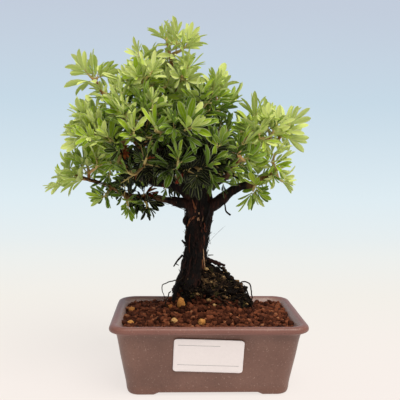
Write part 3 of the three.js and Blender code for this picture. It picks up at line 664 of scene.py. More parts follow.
def make_sticker():
    """A thin rounded sheet on the sloping wall, its corners very slightly lifted. The front of the pot's
    wall runs from 47.2 mm up and 4 mm in, to 4.5 mm up and 11.8 mm in."""
    lean = math.atan2(11.8 - 4, 47.2 - 4.5)
    u, v = np.meshgrid(np.linspace(-1, 1, 61), np.linspace(-1, 1, 37))
    half = STICKER_HEIGHT / 2
    trim = np.clip(np.abs(v) * half - (half - STICKER_CORNER), 0, STICKER_CORNER)
    reach = STICKER_LENGTH / 2 - (STICKER_CORNER - np.sqrt(np.maximum(STICKER_CORNER ** 2 - trim ** 2, 0)))
    x, y = u * reach, v * half
    lift = 0.35 + 0.25 * (np.abs(u) ** 6 * np.abs(v) ** 6) + 0.03 * cloud(np.stack([x, y, 0 * x], -1), 9, 1)
    turn = math.radians(STICKER_TURN)
    x, y = x * math.cos(turn) - y * math.sin(turn), x * math.sin(turn) + y * math.cos(turn)
    wall = -(RIM_DEPTH / 2 - 4 - (47.2 - STICKER_Z) * math.tan(lean))
    front, back = (np.stack([x + STICKER_X, wall - out * math.cos(lean) - y * math.sin(lean),
                             STICKER_Z + y * math.cos(lean) - out * math.sin(lean)], -1)
                   for out in (lift + STICKER_THICKNESS, lift))
    grid = np.concatenate([front, back[::-1]]).swapaxes(0, 1)
    along, up = (np.concatenate([way, way[::-1]]).T / 2 + 0.5 for way in (u, v))
    values = looks(grid.shape[:2], 0.0, along, up)
    piece("sticker", [(grid, 0, values)], [PAPER], ["plant_label"])


make_sticker()


# Wood: paths of points with evenly spaced radii

TRUNK = [(-11, 16, 52), (-11, 15.5, 72), (-9.8, 15, 84), (-7.9, 14, 100), (-7.4, 13.5, 110),
         (-7, 13, 121), (-6, 12, 132), (-7, 12, 150)]
TRUNK_RADII = [12, 10.6, 9.2, 8.5, 9, 10.1, 11.2, 6.8]
LIMBS = [
    ([(-6, 12, 134), (-8, 12, 152), (-14, 13, 172), (-20, 14, 194), (-25, 12, 212), (-28, 8, 228),
      (-28.5, 6, 242)],
     [8.5, 6.8, 5, 3.6, 2.4, 1.7, 1.1]),
    ([(-13, 13, 164), (-28, 12, 174), (-45, 10, 185), (-62, 8, 198), (-70, 6, 206), (-80, 4, 218),
      (-86, 2, 229)],
     [4.4, 3.4, 2.7, 2.1, 1.7, 1.4, 1.1]),
    ([(-38, 11, 180), (-47, 8, 196), (-50, 6, 210), (-49, 6, 228)], [2.4, 1.8, 1.4, 1]),
    ([(-17, 13, 180), (-24, 8, 196), (-27, 4, 210), (-25, 0, 221), (-21, -4, 231)], [3, 2.2, 1.7, 1.3, 1]),
    ([(-10, 12, 160), (-4, 6, 186), (0, 0, 202), (4, -2, 211)], [3.4, 2.4, 1.7, 1.1]),
    ([(-9, 11, 139), (-19, 10.5, 147.5), (-31, 9.5, 152), (-46, 8, 153.8), (-62, 6, 163),
      (-77, 4, 175.5), (-88, 2, 186)],
     [6, 4.8, 4.1, 3.6, 2.2, 1.6, 1.1]),
    ([(-8, 11, 133), (-23, 9, 136.6), (-31, 8, 138.2), (-41.5, 6, 140.6), (-49, 4, 141.1),
      (-60, 2, 142), (-67, 0, 144.7), (-76, -2, 149.3), (-92, -3, 154.5), (-101, -2, 157)],
     [6, 3.5, 2.9, 2.5, 2.2, 2, 1.4, 1.1, 0.95, 0.8]),
    ([(-4, 11, 131), (7, 9, 136), (16, 7, 143.4), (25, 5, 149), (33, 4, 151), (42, 3, 155.4),
      (51.4, 1, 161.8), (61, 0, 167)],
     [6.5, 4.8, 3.9, 3.2, 2.6, 2, 1.5, 1]),
    ([(-8, 12, 154), (6, 8, 166), (20, 4, 176), (34, 3, 180), (44, 2, 182), (54, 4, 186)],
     [3, 1.8, 1.5, 1.3, 1.1, 0.9]),
    ([(6, 8, 166), (14, -4, 173), (22, -10, 181), (32, -8, 190)], [1.9, 1.5, 1.3, 1]),
    ([(-7, 10, 148), (-12, -8, 160), (-20, -18, 172), (-25, -20, 177), (-20, -32, 185)],
     [4.4, 3.2, 2.2, 1.6, 1.1]),
    ([(-12, 10, 156), (-28, -4, 164), (-44, -16, 174), (-56, -24, 184)], [3.6, 2.8, 2, 1.2]),
    ([(-5, 8, 146), (8, -8, 154), (16, -20, 162), (20, -30, 170)], [3.6, 2.6, 1.9, 1.1]),
    ([(-7, 14, 142), (-12, 36, 160), (-18, 54, 180), (-24, 60, 200)], [4.4, 3.2, 2.2, 1.2]),
    ([(-12, 14, 160), (-34, 30, 174), (-56, 42, 188), (-70, 42, 204)], [3.6, 2.8, 2, 1.1]),
    ([(-6, 14, 148), (14, 30, 162), (30, 40, 178), (38, 38, 194)], [3.6, 2.8, 2, 1.1]),
]
ROOTS = [
    ([(-8, 14, 93), (-1, 14, 90.4), (5, 14.5, 89.2), (10, 15, 87.3), (15, 15.5, 85.2)],
     [4.6, 2.8, 1.6, 1.2, 0.9]),
    ([(-14, 15, 82), (-21, 15, 70), (-24, 14, 60), (-26, 13, 48)], [5.5, 4, 2.8, 1.8]),
    ([(-8, 22, 84), (-5, 31, 68), (-2, 35, 56), (-1, 36, 48)], [5, 3.4, 2.4, 1.8]),
]
# Limbs whose bark turns tan while they are thick, and the radius at which it does on the others and on these
YOUNG_LIMBS, TAN_RADII = (1, 2, 3, 5, 6, 7), (2.3, 2.9)
# Peeled places on the front of the trunk: points across and up, half width, tone
PEELINGS = [
    ([(-12, 139), (-9.8, 132), (-10.2, 127), (-13.6, 123), (-15.5, 118)], 1.1, 0.5),
    ([(-10.8, 134), (-9.4, 130), (-9.8, 126)], 0.9, 0.62),
    ([(-3.2, 101), (-2.4, 93.5), (-1.3, 86), (-0.5, 83)], 0.7, 0.9),
    ([(-4.4, 97), (-3.4, 90), (-2.6, 84)], 0.5, 0.55),
    ([(-2.3, 121), (-1.4, 117), (-0.9, 113.5)], 1.7, 0.32),
    ([(-4.6, 116), (-2.6, 109), (-2, 103)], 1.0, 0.25),
    ([(-7.4, 125.4), (-6.9, 122.8)], 1.1, 0.8),
    ([(-7, 129.4), (-6.6, 128)], 0.7, 0.9),
    ([(-13.4, 112), (-14, 104), (-13.8, 97)], 0.35, 0.25),
    ([(-9, 103), (-8.6, 94), (-9.4, 88)], 0.6, 0.13),
    ([(-16.6, 125), (-17.4, 121), (-16.8, 118)], 1.3, 0.35),
]
# Small dead twigs and hairs on the trunk: points, radius at the start and at the end
DEAD_TWIGS = [
    ([(-19, 8, 95), (-23, 5, 91), (-26, 4, 86.5)], 0.9, 0.5),
    ([(-15.5, 8, 102.5), (-17.5, 7, 104.5), (-19.6, 6, 107)], 1.1, 0.7),
    ([(-13, 10, 127), (-16.4, 9, 124.6), (-17.6, 9, 121.5), (-15, 10, 118)], 1.9, 1.6),
    ([(-24.5, 4, 89), (-22, 4.5, 87.5)], 0.5, 0.3),
    ([(-13, 9, 113), (-16.6, 8, 110), (-15.4, 9, 104)], 1.3, 0.8),
    ([(1, 8, 95), (5, 6, 95.5)], 0.5, 0.3),
    ([(11, 8, 140), (13.5, 6, 135), (14.5, 5, 130), (18, 5, 127)], 0.45, 0.75),
    ([(2, 8, 106), (7, 5, 112), (14, 4, 119)], 0.12, 0.08),
    ([(3, 8, 104), (2, 6, 110), (6, 4, 113)], 0.1, 0.07),
]
# How many fine roots and crumbs there are on the mound, and crumbs at the foot of the trunk
FINE_ROOTS, MOUND_CRUMBS, COLLAR_CRUMBS = 150, 760, 210
# Wiry roots that stand off the mound: points, radius at the start and at the end
WIRY_ROOTS = [
    ([(-18, 8, 78), (-21, 7, 75.5), (-26, 6, 75), (-30.5, 5, 73.4), (-34.2, 5, 71.8), (-34.8, 5, 68),
      (-34.4, 5, 65), (-32.5, 5, 61.5)], 0.55, 0.26),
    ([(-28, 8, 66), (-29.5, 6, 64.5), (-31.5, 5, 58), (-31, 4, 52)], 0.5, 0.4),
    ([(22, 6, 71), (27.5, 4.5, 74.6), (32.4, 4, 74.2), (35, 4.5, 70.5), (35.8, 5.5, 63),
      (36.2, 6.5, 55), (36, 8, 50)], 0.62, 0.42),
    ([(-4, 4, 72), (3, 0.5, 66), (11, -0.5, 62), (18, 0, 58), (24, -0.5, 52)], 0.6, 0.4),
    ([(13, 4.5, 76), (8, 1.5, 68), (2, 0, 61), (-3, -2.5, 53)], 0.55, 0.35),
]


def fibres(depth):
    """Relief of old bark: lengthwise ridges, about 2 mm apart and 20 mm long, over broad swellings."""
    def relief(points, turn, run, size):
        turn = turn + 0.02 * run
        wound = np.stack([np.cos(turn) * size / 2, np.sin(turn) * size / 2, run / 18 + 0 * turn], -1)
        flat = wound.reshape(-1, 3)
        ridge = 1 - np.abs(bumps(flat, 1.0, 21, 3)) * 1.6
        fine = cloud(flat * [3, 3, 6], 1.0, 25)
        broad = bumps(points.reshape(-1, 3), 7, 31, 3)
        return (depth * (0.7 * ridge - 0.45 + 0.25 * fine + 1.1 * broad)).reshape(points.shape[:2])
    return relief


def gnarl(turn, t):
    """Share that the trunk's radius swells by: three and five ribs that wind up it, t from 0 to 1."""
    return 0.08 * np.sin(3 * turn + 9 * t) + 0.05 * np.sin(5 * turn - 14 * t + 1)


def trunk_middle(z):
    """The middle of the trunk at height z."""
    x, y, heights = np.array(TRUNK, float).T
    return np.stack([np.interp(z, heights, x), np.interp(z, heights, y), z], -1)


def on_trunk(x, z, out=0.5):
    """Places on the front of the trunk at that width and height, lifted off it a little."""
    middle = trunk_middle(z)
    radius = np.interp(z, [point[2] for point in TRUNK], TRUNK_RADII) + out
    reach = np.clip((x - middle[..., 0]) / radius, -0.99, 0.99)
    return middle + np.stack([reach * radius, -radius * np.sqrt(1 - reach ** 2), 0 * radius], -1)


def peelings():
    """Each peeled place is a thin ribbon that lies on the trunk, ragged along both edges."""
    chunks = []
    for k, (places, half, tone) in enumerate(PEELINGS):
        path = smooth_path(on_trunk(*np.array(places, float).T), 24)
        out = unit(path - trunk_middle(path[:, 2]))
        flank = np.cross(out, unit(np.gradient(path, axis=0)))
        round_ends = np.sin(np.pi * np.linspace(0.08, 0.92, 24)) ** 0.6
        ragged = half * round_ends * (1 + 0.35 * cloud(path, 1.5, 40 + k))
        chunks.append((ribbon(path, flank, out, ragged, 0.3, 0.9), 0, (0, 0, tone, 0)))
    return chunks


def strips(points, sizes, count, width):
    """Peeling bark: narrow ribbons that follow the limb and curl off it at both ends."""
    steps, rows = 200, 14
    path, radii = smooth_path(points, steps), taper(sizes, steps)
    ahead, normal, side = frames(path)
    k = np.arange(count)[:, None]
    t = np.linspace(0, 1, rows)
    at = np.clip(8 + 150 * scatter(k, 31) + (14 + 34 * scatter(k, 32)) * t, 0, steps - 1).astype(int)
    bend = 2 * np.pi * scatter(k, 33) + 0.25 * (scatter(k, 34) - 0.5) * t + 0.05 * np.sin(9 * t + k)
    curl = (0.4 + 2.2 * scatter(k, 35) ** 2) * np.abs(2 * t - 1) ** (3 + 3 * scatter(k, 36))
    out = np.cos(bend)[..., None] * normal[at] + np.sin(bend)[..., None] * side[at]
    centre = path[at] + out * (radii[at] * 1.03 + 0.25 + curl * width)[..., None]
    half = (0.35 + 0.9 * scatter(k, 37)) * width * np.sin(np.pi * (0.06 + 0.88 * t)) ** 0.5
    thick = 0.13 + 0.1 * scatter(k, 38)[..., None]
    grids = ribbon(centre, np.cross(out, ahead[at]), out, half, thick, thick)
    return grids, 0, looks(grids.shape[:3], (0.1 + 0.9 * scatter(k, 39))[..., None])


def strands(path, thick, around, tone, along, kind):
    """Many thin round strands at once: circles of radius thick (n, rows) across each path (n, rows, 3)."""
    ahead = unit(np.gradient(path, axis=1))
    hint = np.where(np.abs(ahead[..., 2:]) > 0.9, [[[1.0, 0, 0]]], [[[0, 0, 1.0]]])
    normal = unit(np.cross(ahead, hint))
    side = np.cross(ahead, normal)
    turn = turns(around)[:, None]
    out = np.cos(turn) * normal[:, :, None] + np.sin(turn) * side[:, :, None]
    grids = path[:, :, None] + out * thick[..., None, None]
    return grids, kind, looks(grids.shape[:3], tone, along)


def crumbs(places, long, low, tones, seeds):
    """Crumbs of old soil: each long, narrower and, from the share low, lower, and nearly all dark."""
    k = np.arange(len(places))
    broad, flat, turned, pale = seeds
    width, height = long * (0.35 + 0.5 * scatter(k, broad)), long * (low + 0.4 * scatter(k, flat))
    grids = pebbles(places, np.stack([long, width, height], -1), turned, 0.3, 6, 4)
    return grids, 0, looks(grids.shape[:3], (0.05 + tones * scatter(k, pale) ** 3)[:, None, None])


def make_trunk():
    """Trunk, limbs and surface roots: tapering tubes with a fibrous relief, and loose strips of bark."""
    rough = fibres(0.75)

    def gnarled(points, turn, run, size):
        return size * gnarl(turn, run / run[-1]) + rough(points, turn, run, size)

    chunks = [(tube(smooth_path(TRUNK, 230), taper(TRUNK_RADII, 230), 110, gnarled), 0, (0.25, 0, 0, 0))]
    for k, (points, sizes) in enumerate(LIMBS + ROOTS):
        steps = 15 * len(points)
        path, radii = smooth_path(points, steps), taper(sizes, steps)
        path = path + wander(path, 50, 11, 60 + k) * np.minimum(np.linspace(0, 2, steps), 1)[:, None] * 0.5
        grid = tube(path, radii, 20, fibres(np.clip(max(sizes) * 0.09, 0.12, 0.5)))
        tan_from = TAN_RADII[k in YOUNG_LIMBS]
        young = share(radii, tan_from, tan_from - 1.1) * (k < len(LIMBS))
        redder = 0.25 + 0.5 * share(radii, 4, 0)
        chunks.append((grid, 0, looks((steps, 20), redder[:, None], young[:, None])))
    peeling = [((TRUNK, TRUNK_RADII), 90, 0.9), (LIMBS[5], 14, 0.5), (LIMBS[6], 18, 0.5), (LIMBS[0], 16, 0.6),
               (ROOTS[0], 12, 0.5)]
    chunks += [strips(*limb, count, width) for limb, count, width in peeling]
    chunks += peelings()
    for points, thick, thin in DEAD_TWIGS:
        grid = tube(smooth_path(points, 20), np.linspace(thick, thin, 20), 8, fibres(0.06))
        chunks.append((grid, 0, (0.1, 0, 0, 0)))
    piece("trunk_bark", chunks, [BARK], ["trunk"])


def make_root_ball():
    """The mound: a lumpy cone of root mat, a net of fine roots that crawl down over it, and crumbs."""
    grid = mound_point(ball(110, 150, 0.03))
    flat = grid.reshape(-1, 3)
    shown = share(flat[:, 2], 44, 50)
    rough = (bumps(flat, 9, 71, 2) * 1.8 + bumps(flat, 3.4, 75, 3) * 1.7 - 1.2) * shown
    grid = (flat + unit(flat - MOUND_MIDDLE) * rough[:, None]).reshape(grid.shape)
    chunks = [(grid, 0, (0.2, 0, 0, 0))]
    k, t = np.arange(FINE_ROOTS)[:, None], np.linspace(0, 1, 16)
    turn = (2 * np.pi * scatter(k, 81) + (scatter(k, 82) - 0.5) * 2.6 * t
            + 0.18 * np.sin(11 * t * (1 + scatter(k, 83)) + k))
    down = 0.15 + 0.95 * scatter(k, 84) + (0.1 + 0.6 * scatter(k, 85)) * t + 0.08 * np.sin(14 * t + 2 * k)
    way = direction(down, turn)
    path = mound_point(way)
    lift = 0.1 + 0.9 * cloud(path, 6, 91) + 1.6 * scatter(k, 86) ** 3 * np.sin(np.pi * t)
    thick = (0.22 + 0.75 * scatter(k, 87) ** 4) * (1 - 0.6 * t)
    tone = 0.05 + 0.8 * scatter(k, 88) ** 2
    chunks.append(strands(path + way * lift[..., None], thick, 5, tone[..., None], t[:, None], 0))
    k = np.arange(MOUND_CRUMBS)
    way = unit(np.stack([scatter(k, 92) * 2 - 1, scatter(k, 93) * 2 - 1, 0.08 + 0.9 * scatter(k, 94)], -1))
    places = mound_point(way) + way * (-0.6 + 1.2 * scatter(k, 95))[:, None]
    chunks.append(crumbs(places, 1.6 + 4.4 * scatter(k, 96) ** 3, 0.3, 1.2, (99, 90, 97, 98)))
    k = np.arange(COLLAR_CRUMBS)
    z = 51 + 22 * scatter(k, 202) ** 1.6
    places = on_trunk(24 * scatter(k, 201) - 23, z, 0.2 + 1.2 * scatter(k, 203))
    chunks.append(crumbs(places, 1.5 + 3.6 * scatter(k, 204) ** 2, 0.4, 0.9, (205, 206, 207, 208)))
    for points, thick, thin in WIRY_ROOTS:
        path = smooth_path(points, 40)
        path = path + 0.75 * wander(path, 30, 2.4, 7)
        chunks.append((tube(path, np.linspace(thick, thin, 40), 8), 0, (0.45, 0, 0, 0)))
    piece("root_mound", chunks, [PEAT], ["root_ball"])


make_trunk()
make_root_ball()


# Leafy shoots: each end is its place as seen from the front, across and up, then its depth, the way it
# grows, how far it leans back, and the length of its leaves

SHOOTS = {
    "top": [
        [(-33, 262, 6, 98, 0, 14), (-18, 255, -4, 52, -8, 17), (-30, 242, 8, 120, 5, 15)],
        [(-17, 239, -8, 62, -8, 16), (-19, 230, -14, 18, -12, 15)],
        [(-44, 243, 6, 92, 0, 14)],
        [(-62, 228, -6, 120, -8, 15), (-51, 231, -16, 100, -15, 14)],
        [(-44, 234, -22, 38, -15, 15), (-31, 227, -8, 78, -10, 14)],
        [(-39, 217, -6, 95, 0, 14), (-25, 217, 0, 60, 5, 14)],
    ],
    "left": [
        [(-91, 233, 2, 128, 0, 17), (-84, 231, 6, 66, 5, 16)],
        [(-80, 220, 4, 165, 10, 12)],
        [(-93, 200, -6, 140, -8, 16), (-87, 197, 8, 92, 8, 15)],
        [(-95, 191, 2, 182, 0, 16), (-84, 193, -18, 118, -15, 14)],
        [(-95, 185, -10, 178, -8, 16), (-78, 184, -26, 138, -18, 14)],
        [(-100, 154, -2, 192, 0, 17), (-105, 161, 6, 104, 5, 14)],
        [(-94, 167, 2, 140, 0, 14), (-85, 169, -16, 110, -12, 13)],
    ],
    "low": [
        [(-79, 141, -6, 226, -8, 12.5)],
        [(-61, 134, -10, 277, -5, 12), (-54, 134, 2, 262, 5, 12)],
        [(-46, 134, -8, 295, -8, 12)],
        [(-13, 149, -26, 282, -18, 11), (1, 156, -34, 268, -8, 14), (-32, 149, -16, 255, -10, 11)],
    ],
    "front": [
        [(-14, 195, -44, 64, -18, 18), (-16, 193, -50, 14, -18, 17)],
        [(-7, 214, -24, 84, -10, 16), (3, 223, -12, 100, -5, 15)],
        [(-29, 194, -46, 98, -18, 15), (-39, 193, -50, 25, -12, 16)],
        [(-57, 190, -42, 102, -18, 15), (-63, 201, -34, 120, -12, 15)],
        [(-23, 169, -52, 82, -20, 15), (-28, 165, -46, 172, -15, 14)],
        [(1, 166, -48, 40, -12, 17), (9, 181, -40, 66, -12, 16), (15, 163, -30, 340, -10, 13)],
        [(-43, 211, -34, 94, -12, 15), (-37, 205, -28, 66, -10, 14)],
        [(-75, 184, -28, 126, -12, 15), (-70, 169, -30, 100, -15, 14)],
        [(-67, 213, -22, 118, -10, 15), (-54, 217, -12, 78, -5, 14)],
        [(-61, 160, -34, 132, -15, 14), (-47, 171, -44, 70, -20, 14)],
    ],
    "right": [
        [(6, 224, -4, 90, -5, 17), (15, 214, 4, 12, 3, 14)],
        [(36, 202, -6, 92, -5, 17), (45, 200, 2, 72, 0, 17)],
        [(60, 196, 0, 50, 0, 17), (59, 188, 8, 8, 3, 15)],
        [(51, 195, -12, 62, -8, 16), (39, 190, -18, 58, -10, 16)],
        [(52, 175, -6, 42, -5, 14), (57, 154, 0, 345, 0, 12.5)],
        [(35, 146, 0, 295, 0, 16), (41, 157, 6, 328, 3, 12)],
        [(26, 182, -26, 66, -12, 16), (30, 170, -22, 28, -10, 15)],
    ],
    "inner": [
        [(-45, 184, 8, 100, 15, 14), (-67, 192, 18, 130, 15, 14), (-25, 200, 14, 80, 15, 14)],
        [(-2, 192, 22, 60, 15, 14), (14, 193, 10, 66, 10, 14), (11, 153, -10, 285, -5, 13)],
    ],
    "back": [
        [(-37, 235, 36, 98, 20, 15), (-21, 225, 44, 70, 25, 14)],
        [(-66, 220, 34, 122, 20, 15), (-51, 205, 48, 100, 25, 14)],
        [(-87, 205, 32, 145, 20, 15), (-76, 187, 50, 150, 30, 14)],
        [(-84, 178, 34, 165, 20, 14), (-79, 161, 48, 195, 30, 14)],
        [(-63, 153, 32, 225, 25, 14), (-47, 157, 44, 250, 30, 13)],
        [(-4, 215, 32, 76, 20, 15), (5, 199, 46, 55, 30, 14)],
        [(25, 192, 33, 64, 20, 15), (35, 181, 46, 30, 30, 14)],
        [(30, 170, 30, 15, 20, 15), (21, 158, 44, 320, 30, 14)],
        [(-28, 207, 62, 92, 35, 15), (-48, 192, 64, 115, 35, 14), (-10, 177, 70, 70, 40, 14)],
        [(-34, 172, 76, 100, 45, 15), (-60, 169, 64, 150, 40, 14), (-14, 154, 60, 300, 35, 14)],
    ],
}
# The crown: its heart and its reach to each side, where its withered leaves are, and where buds may break
CROWN_HEART, CROWN_REACH = np.array([-24.0, 5.0, 160.0]), np.array([80.0, 95.0, 90.0])
WITHERED_HEART, WITHERED_REACH = np.array([-46, -16, 166]), np.array([26, 40, 18])
BUDS = np.vstack([smooth_path(points, 25)[5:] for points, sizes in LIMBS])
# Leaflet: stations along it, and its half width there
STATIONS = np.array([0.0, 0.2, 0.45, 0.7, 0.89, 1.0])
HALF_WIDTHS = np.array([0.1, 0.5, 0.9, 1.0, 0.72, 0.14])
# Leaflets of a compound leaf: angle, place on the stalk, share of the leaf's length
FINGERS = [(0, 1.0, 0.9), (38, 0.95, 0.84), (-38, 0.95, 0.84), (74, 0.6, 0.66), (-74, 0.6, 0.66)]
# A leaf's stalk, as a share of the leaf's length, its radius, and the thickness of a leaflet
STALK_SHARE, STALK_RADIUS, LEAF_THICKNESS = 0.26, 0.3, 0.24
# Leaves on a shoot: distance from the tip of each, and the turn from one to the next
LEAF_PLACES, LEAF_TURN = np.array([0, 1.8, 4, 8, 13, 20, 28, 37.0]), 137.5
# Spurs: distance of the first from the tip, and between them
SPUR_FIRST, SPUR_SPACING = 11.0, 8.5
# Radii from the foot to the tip of a twig and of a spur
TWIG_RADII, SPUR_RADII = [1.3, 1.15, 0.75], [0.5, 0.45, 0.35]
# A shoot with leaves shorter than this is a weak one, with fewer leaves and spurs
WEAK_SHOOT = 13


def seen(across, up, depth):
    """A place on the camera's sight line, at its own depth."""
    scale = (depth - EYE[1]) / -EYE[1]
    return np.array([EYE[0] + (across - EYE[0]) * scale, depth, EYE[2] + (up - EYE[2]) * scale])


def heading(turn, lean):
    """The way a shoot grows, from its turn in the picture and its lean to the back, in degrees."""
    turn, lean = math.radians(turn), math.radians(lean)
    return np.array([math.cos(lean) * math.cos(turn), math.sin(lean), math.cos(lean) * math.sin(turn)])


def bud_for(end, way):
    """The bud that a shoot grows from: near, but at least 9 mm off, and behind the way it grows."""
    reach = end - BUDS
    length = np.linalg.norm(reach, axis=1)
    cost = np.where(length < 9, 999, length * (1.7 - reach @ way / np.maximum(length, 1e-6)))
    return BUDS[np.argmin(cost)]


def bezier(start, end, way, bow, count):
    """Cubic curve from the bud to the shoot's end, arriving along its way."""
    reach = np.linalg.norm(end - start)
    a, b = start + 0.35 * (end - start) + bow, end - 0.35 * reach * way
    t = np.linspace(0, 1, count)[:, None]
    return (1 - t) ** 3 * start + 3 * (1 - t) ** 2 * t * a + 3 * (1 - t) * t ** 2 * b + t ** 3 * end


def round_stem(ahead, turn):
    """Directions square to a stem, at that turn round it."""
    flank = unit(np.cross([0.3, 0.5, 1], ahead))
    return np.cos(turn)[:, None] * flank + np.sin(turn)[:, None] * np.cross(ahead, flank)


def leaflets(base, way, face, length, width, bend, fold, tone):
    """Leaflets as thin closed blades: an oblong outline with a round tip, folded up along the rib and
    bent along its length. Returns grids (n, 6, 4, 3) and their look values."""
    face = unit(face - np.sum(face * way, -1, keepdims=True) * way)
    side = np.cross(way, face)
    s = STATIONS[None, :, None]
    half = HALF_WIDTHS[None, :, None] * width[:, None, None] / 2
    cross = np.array([-1.0, 0.0, 1.0, 0.0])[None, None, :]
    under = np.array([0, 0, 0, 1.0])[None, None, :]
    across = cross * half
    along = length[:, None, None] * (s - 0.12 * bend[:, None, None] * s ** 3)
    rise = fold[:, None, None] * np.abs(across) - bend[:, None, None] * length[:, None, None] * 0.5 * s ** 2
    rise = rise - under * LEAF_THICKNESS
    base, way, side, face = (v[:, None, None] for v in (base, way, side, face))
    grids = base + way * along[..., None] + side * across[..., None] + face * rise[..., None]
    return grids, looks(grids.shape[:3], tone[:, None, None], s, np.abs(cross), under)


def compound(base, way, face, length, tone, opened, seed):
    """Compound leaves of five leaflets: three at the end of the stalk and a pair below it. A young leaf's
    leaflets stand close together, and part as it opens from 0 to 1. Returns the blades with their look
    values, and the stalks with their radii."""
    k = np.arange(len(base)) + seed * 13.7
    face = unit(face - np.sum(face * way, -1, keepdims=True) * way)
    side = np.cross(way, face)
    stalk = length * STALK_SHARE
    bend = -0.1 + 0.55 * scatter(k, 2)
    parts = []
    for j, (angle, at, size) in enumerate(FINGERS):
        a = np.radians(angle * (0.45 + 0.55 * opened) + 30 * (scatter(k, j + 1) - 0.5))
        rise = 0.6 * (scatter(k, j + 11) - 0.42)[:, None]
        out = unit(np.cos(a)[:, None] * way + np.sin(a)[:, None] * side + rise * face)
        turned = face + 1.5 * (scatter(k, j + 41) - 0.5)[:, None] * side
        own = length * size * (0.82 + 0.34 * scatter(k, j + 21))
        parts.append((base + way * (stalk * at)[:, None], out, turned, own,
                      own * (0.21 + 0.06 * opened + 0.09 * scatter(k, j + 31)),
                      bend + 0.4 * (scatter(k, j + 51) - 0.5), 0.15 + 0.5 * scatter(k, j + 61),
                      tone + 0.24 * (scatter(k, j + 71) - 0.5)))
    stalks = np.stack([base + way * (stalk * part)[:, None] for part in (0, 0.5, 1.04)], 1)
    blades = leaflets(*(np.concatenate(x) for x in zip(*parts)))
    return blades, (stalks, np.full((len(base), 3), STALK_RADIUS))


def shade_of(at, outer, order, chance, tone):
    """The leaf's tone, mostly painted light and shade: lighter towards the outside and the top of the crown,
    painted shade inside it and in the hollow round the trunk. Older leaves are darker, partly from age and
    partly as painted shade, more so inside; chance tells more inside, as painted light on leaves that catch
    it."""
    hollow = share(np.abs(at[:, 0] + 18), 66, 6) * share(at[:, 2], 195, 155)
    painted_top_light = np.clip((at[:, 2] - 172) / 50, -1, 1)
    return (tone - 0.1 + 1.25 * outer ** 1.9 - (0.12 - 0.045 * outer) * np.minimum(order, 7) + 0.16 * painted_top_light
            + (0.62 - 0.36 * outer) * (chance - 0.52) - 0.26 * hollow)


def leaves_on(at, ahead, order, seed, length, tone):
    """Leaves set round a stem in a spiral: the youngest, number 0, stand up at the tip, the older ones
    open out. All of them turn a little towards the light."""
    opened = np.minimum(order / 3, 1)
    spread = np.radians(10 + 58 * opened ** 0.8 + 22 * (scatter(seed + order, 3) - 0.5))[:, None]
    spin = round_stem(ahead, np.radians(-LEAF_TURN * order + 275) + 2 * np.pi * scatter(seed, 1))
    out = unit(np.cos(spread) * ahead + np.sin(spread) * spin + [0, 0, 0.22])
    sway = np.stack([scatter(seed + order, 20 + axis) for axis in range(3)], -1) - 0.5
    face = ahead + [0, -0.1, 0.45] + 0.7 * sway
    outer = np.clip(np.linalg.norm((at - CROWN_HEART) / CROWN_REACH, axis=1), 0, 1.2)
    size = length * np.interp(order, [0, 1, 2.5, 10], [0.78, 0.96, 1.0, 0.9])
    size = size * np.interp(outer, [0.2, 0.85], [0.88, 1.04])
    size = size * (0.85 + 0.35 * scatter(seed + 3 * order, 5))
    # Painted light and shade on the leaf's tone, from where it sits in the crown
    shade = shade_of(at, outer, order, scatter(seed + 1.7 * order, 41), tone)
    withered = scatter(3.7 * seed + 5.1 * order + at[:, 0], 77) > 0.84
    withered &= np.linalg.norm((at - WITHERED_HEART) / WITHERED_REACH, axis=1) < 1
    return at, out, face, size * np.where(withered, 0.42, 1), np.where(withered, -1.0, shade), opened


def along_stem(path, far, least=0):
    """Places and headings at the given distances back from the path's end, but none in its first 3 mm. On
    a short stem the first few, up to the number least, are drawn together so that they fit."""
    run = distance(path)
    room = run[-1] - 3
    if least and far[least - 1] > room:
        far = far * room / far[least - 1] * 0.999
    far = far[far < room]

    def spot(back):
        return np.stack([np.interp(run[-1] - back, run, path[:, axis]) for axis in range(3)], -1)

    return spot(far), unit(spot(far - 0.5) - spot(far + 0.5) + 1e-6)


def spurs_on(path, length, seed):
    """Short side twigs in a spiral along a shoot, with three leaves each: lines, radii and leaves."""
    at, ahead = along_stem(path, SPUR_FIRST + SPUR_SPACING * np.arange(2 if length < WEAK_SHOOT else 4))
    i = np.arange(len(at))
    spin = round_stem(ahead, np.radians(LEAF_TURN * i) + 2 * np.pi * scatter(seed, 9))
    out = unit(0.75 * ahead + spin + [0, 0, 0.35])
    reach = (7 + 9 * scatter(seed + i, 12))[:, None]
    tips = at + out * reach
    lines = np.stack([at, at + out * (reach * 0.5) + [0, 0, -0.3], tips], 1)
    # Spur leaves start from tone 0, darker than the shoot's own leaves: painted shade, as they sit further
    # inside the crown
    leaves = [leaves_on(tips - out * (2.4 * k), out, np.full(len(i), 1.6 * k), seed + 31 * i,
                        length * 0.92, 0.0) for k in range(3)]
    return lines, np.broadcast_to(SPUR_RADII, (len(i), 3)), leaves


